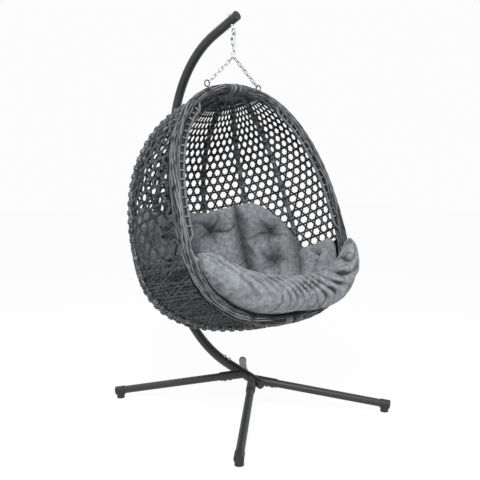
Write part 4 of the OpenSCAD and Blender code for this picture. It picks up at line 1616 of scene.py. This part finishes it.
@dataclass(frozen=True)
class FrontRoll:
    """The gathered roll over the front of the rim.

    A slant or a wander of its pleats is counted in pleats. With a wander goes the length over
    which it runs, in millimetres.
    """

    shell: EggShell
    radius: float = 83.0
    half: float = 430.0
    shift: float = 22.0
    front: float = 62.0
    skew: float = 58.0
    low: float = 93.0
    rise: float = 240.0
    rise_power: float = 3.6
    turn_up: float = 225.0
    turn_up_power: float = 10.0
    end_power: float = 6.0
    end_share: float = 0.995
    back: float = 0.2
    rim_front: float = 34.5
    rim_clear: float = 27.0
    sag: float = 38.0
    pleat: float = 28.0
    pleat_power: float = 1.7
    pleat_pitch: float = 56.0
    pleat_radii: tuple = (15.0, 60.0)
    slant: float = 0.9
    slant_from: float = 0.6
    wander: float = 0.8
    wander_run: float = 91.0
    ripple: float = 0.3
    fine_share: float = 0.4
    fine_pitch: float = 31.0
    fine_slant: float = 1.3
    fine_wander: float = 1.1
    fine_run: float = 57.0
    left_share: float = 0.4
    left_part: tuple = (-0.5, 0.2)
    under_share: float = 0.4
    under_from: float = 0.4
    pause_share: float = 0.3
    pause_run: float = 67.0
    pause_slant: float = 1.4
    rim_touch: float = 6.0
    touch: float = 8.0
    parallel: float = 0.001
    fill: float = 0.8
    stuffing: Stuffing = Stuffing(voxel=5.5, swell=9.0, pressure=3.0)

    def rim_top(self, x: Array) -> Array:
        """Height of the top of the rim at the distance x from its middle.

        Args:
            x: Distances to the right, in millimetres.
        Returns:
            Heights in millimetres.
        """
        share = np.clip(np.abs(x) / self.shell.rim_half_width, 0, 1)
        level = -np.arccos(share ** (self.shell.low_power / 2))
        normal = self.shell.normal(np.full(np.shape(x), np.pi / 2), level)
        return self.shell.height(level) - self.rim_clear / normal[..., 2]

    def valley(self, phase: Array) -> Array:
        """The share of a pleat's depth: 1 less the sine's size, to a power over 1."""
        return (1 - np.abs(np.sin(phase))) ** self.pleat_power

    def gathers(self, t: Array, a: Array) -> Array:
        """Depth of the pleats at a share of the length and an angle round the section.

        Valleys lie where a wandering phase comes round to a half turn, once in each pleat. They
        slant round the roll, come and go along it, and deepen towards the right and over the
        front. A second, finer set crosses them.

        Args:
            t: Shares of the length, from -1 to 1.
            a: Angles round the section, in radians.
        Returns:
            Depths in millimetres.
        """
        x = self.half * t
        slant = self.slant * np.sin(a + self.slant_from)
        wander = self.wander * np.sin(x / self.wander_run)
        phase = np.pi * (x / self.pleat_pitch + slant + wander + self.ripple * np.sin(3 * a))
        slant = self.fine_slant * np.cos(a)
        wander = self.fine_wander * np.sin(x / self.fine_run + 2 * a)
        fine = np.pi * (x / self.fine_pitch + slant + wander)
        right = lerp(self.left_share, 1, ramp(t, *self.left_part))
        over = lerp(self.under_share, 1, np.cos(a + self.under_from) ** 2)
        pause = np.sin(x / self.pause_run + self.pause_slant * a) ** 2
        share = right * over * lerp(self.pause_share, 1, pause)
        both = self.valley(phase) + self.fine_share * self.valley(fine)
        return share * self.pleat * both

    def axis(self, t: Array) -> tuple[Array, Array, Array]:
        """The roll's axis, at shares of its length from -1 at the left to 1 at the right.

        It rises towards the left end as a power of the distance from the right one, and turns
        up at the right end as a higher power of the distance from the left one.

        Args:
            t: Shares of the length.
        Returns:
            The three coordinates, in millimetres.
        """
        z = self.low + self.rise * ((1 - t) / 2) ** self.rise_power
        z = z + self.turn_up * ((1 + t) / 2) ** self.turn_up_power
        return self.half * t - self.shift, -self.front - self.skew * t, z

    def creases(self, points: Array) -> Array:
        """How deep in a pleat each point lies: the pleats' depth there over half the deepest,
        which sets the painted shade of the fabric there.

        Args:
            points: Points in the basket's frame, in millimetres.
        Returns:
            Values from 0 to 1.
        """
        x, y, z = np.moveaxis(points, -1, 0)
        t = np.clip((x + self.shift) / self.half, -1, 1)
        _, mid_y, mid_z = self.axis(t)
        return np.clip(self.gathers(t, np.arctan2(z - mid_z, y - mid_y)) / self.pleat * 2, 0, 1)

    def points(self, along: int = 420, round_it: int = 128) -> Array:
        """Points of the roll as sections x points x 3.

        A section is a circle round the axis that sags to the rim, cut back to stay before the
        rim, above it and in front of the pads. A cut is the distance along the ray to a line
        there. Rays that are parallel to the line or turn away from it aren't cut.

        Args:
            along: Sections along the roll.
            round_it: Points round each.
        Returns:
            The points, in the basket's frame.
        """
        t = self.end_share * np.sin(np.linspace(-np.pi / 2, np.pi / 2, along))[:, None]
        x, y, z = self.axis(t)
        top = self.rim_top(x)
        corner = np.arctan2(top - z, -self.rim_front - y)
        a = corner + np.linspace(0, 2 * np.pi, round_it, endpoint=False)[None]
        r = self.radius * np.sqrt(1 - np.abs(t) ** self.end_power)
        r = r - self.gathers(t, a) * ramp(r, *self.pleat_radii)
        c, s = np.cos(a), np.sin(a)
        r = r + np.clip(z - top - r, 0, self.sag) * np.maximum(-s, 0)
        back_c, down_s = np.maximum(c, self.parallel), np.maximum(-s, self.parallel)
        to_back, to_down = c > self.parallel, -s > self.parallel
        before = np.maximum(-self.rim_front - y, 0)
        side = np.where(to_back, before / back_c, np.where(before > 0, 2 * r, 0))
        down = np.where(to_down, (z - top) / down_s, 2 * r)
        behind = np.where(to_back, (self.back - y) / back_c, 2 * r)
        reach = np.minimum(np.minimum(r, behind), np.maximum(side, down))
        return np.stack([x + 0 * a, y + reach * c, z + reach * s], -1)

    def held(self, points: Array) -> Array:
        """Which points are held: where the roll lies on the rim and against the pads.

        Args:
            points: Points in the basket's frame, in millimetres.
        Returns:
            True for each point that is held.
        """
        x, y, z = np.moveaxis(points, -1, 0)
        low = z < self.rim_top(x) + self.rim_touch
        return low & (y > -self.rim_front - self.touch) | (y > self.back - self.touch)

    def build(self) -> None:
        """Stuffs the roll and puts it in place of its CAD solid."""
        points, quads = self.stuffing.fill(self.points(), self.held)
        # crease: the share of painted shade that the fabric takes at each point.
        placed, crease = self.shell.place(points), self.creases(points)
        padded_piece("gathered_roll", placed, quads, crease, "front_roll")


# ---- Stand and hanger ----


@dataclass(frozen=True)
class Ironwork:
    """The CAD nodes whose shapes stay: each takes the finish of its slot."""

    def build(self) -> None:
        """Gives each node the material of its slot in the record."""
        for part in frame["record"]["subparts"]:
            mesh = frame["nodes"][part["node"]].data
            mesh.materials.clear()
            mesh.materials.append(MATERIALS[Slot(part["material_slot"])])


# ---- Studio ----


@dataclass(frozen=True)
class SoftBox:
    """A soft square light that looks at the middle of the chair, with metres and watts."""

    name: str
    at: tuple
    size: float
    power: float

    def build(self) -> None:
        """Hangs the light and turns it to the chair."""
        data = bpy.data.lights.new(self.name, "AREA")
        data.size = self.size
        data.energy = self.power
        lamp = bpy.data.objects.new(self.name, data)
        bpy.context.scene.collection.objects.link(lamp)
        lamp.location = self.at
        way = Vector((0, 0, 1)) - Vector(self.at)
        lamp.rotation_euler = way.to_track_quat("-Z", "Y").to_euler()


@dataclass(frozen=True)
class Studio:
    """Camera, soft lights and white paper round the chair, in metres."""

    eye: tuple = (-2.17988, -2.60986, 1.20951)
    right: tuple = (0.762757, -0.646685, 0.0)
    up: tuple = (0.069353, 0.081823, 0.994231)
    lens: float = 50.603
    sensor: float = 36.0
    farthest: float = 60.0
    floor_size: float = 30.0
    room: str = "#e9ecef"
    room_strength: float = 0.33
    backdrop: str = "#fcfcfc"
    lights: tuple = (
        SoftBox("window", (-2.2, -2.4, 3.6), 1.1, 200),
        SoftBox("fill", (3.0, -2.0, 2.0), 3.0, 22),
        SoftBox("top", (0.4, 1.8, 3.6), 2.0, 55),
    )

    def camera(self) -> None:
        """Makes the camera from its right and up directions."""
        data = bpy.data.cameras.new("camera")
        data.lens = self.lens
        data.sensor_width = self.sensor
        data.clip_end = self.farthest
        camera = bpy.data.objects.new("camera", data)
        bpy.context.scene.collection.objects.link(camera)
        right, up = Vector(self.right), Vector(self.up)
        turn = Matrix((right, up, right.cross(up))).transposed().to_4x4()
        camera.matrix_world = Matrix.Translation(self.eye) @ turn
        bpy.context.scene.camera = camera

    def paper(self) -> None:
        """Lays the floor."""
        half = self.floor_size / 2
        corners = [(-half, -half, 0), (half, -half, 0), (half, half, 0), (-half, half, 0)]
        mesh = bpy.data.meshes.new("paper_floor")
        mesh.from_pydata(corners, [], [(0, 1, 2, 3)])
        floor = bpy.data.objects.new("paper_floor", mesh)
        bpy.context.scene.collection.objects.link(floor)
        mesh.materials.append(StudioPaper().build())

    def world(self) -> None:
        """Surrounds the chair with soft light, and shows white to the camera and reflections."""
        r = Recipe(bpy.data.worlds.new("soft_room"))
        bpy.context.scene.world = r.owner
        soft = r.tree.nodes["Background"]
        r.feed(soft, {0: linear(self.room), 1: self.room_strength})
        white = r.add("Background", {0: linear(self.backdrop)})
        mixed = r.add("MixShader", {0: white_rays(r), 1: soft.outputs[0], 2: white.outputs[0]})
        r.feed(r.tree.nodes["World Output"], {0: mixed.outputs[0]})

    def build(self) -> None:
        """Sets the camera, the lights and the paper."""
        self.camera()
        for light in self.lights:
            light.build()
        self.paper()
        self.world()
        bpy.context.scene.view_settings.view_transform = "Standard"


@dataclass(frozen=True)
class Basket:
    """The basket's hoops and panels: ribs by their angle from the back, and how they join.

    A rib ends a little outside the plates' radius, and a half of the rim close to the middle.
    """

    shell: EggShell
    weave: Weave
    ribs: tuple = (("outer", 56.0), ("middle", 35.0), ("inner", 14.0))
    rim_angle: float = 90.0
    rim_end: float = 5.0
    rib_clear: float = 0.3

    def hoops(self) -> None:
        """Wraps the six ribs and the two halves of the rim."""
        parts = self.shell, self.weave
        sides = (("left", -1), ("right", 1))
        for i, (name, angle) in enumerate(self.ribs):
            for j, (side, way) in enumerate(sides):
                end = self.shell.hub_radius + self.rib_clear
                Rib(f"rib_{name}_{side}", way * angle, end, *parts, 2 * i + j).build()
        for side, way in sides:
            RimHalf(f"rim_{side}", way * self.rim_angle, self.rim_end, *parts, 10 + way).build()

    def panels(self) -> None:
        """Weaves a panel between each hoop and the next, from the left to the right."""
        angles = [self.rim_angle, *(angle for _, angle in self.ribs)]
        edges = [-angle for angle in angles] + angles[::-1]
        halves = [RimHalf.half_b, *[Rib.half_b] * (len(edges) - 2), RimHalf.half_b]
        left = ["side_left", "flank_left", "rear_left"]
        names = [*left, "back", *(name.replace("left", "right") for name in left[::-1])]
        for i, name in enumerate(names):
            between = edges[i], edges[i + 1], halves[i], halves[i + 1]
            WovenPanel("weave_" + name, *between, self.shell, self.weave, 30 + i).build()

    def build(self) -> None:
        """Builds the hoops, the plates that gather them and the panels."""
        self.hoops()
        Gather("crown_plate", 1, self.shell, 51).build()
        Gather("base_plate", -1, self.shell, 52).build()
        self.panels()


def main() -> None:
    """Dresses the chair piece by piece."""
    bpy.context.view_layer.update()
    shell = EggShell()
    for part in (Studio(), Ironwork(), Basket(shell, Weave()), SeatPads(shell), FrontRoll(shell)):
        part.build()


if __name__ == "__main__":
    main()
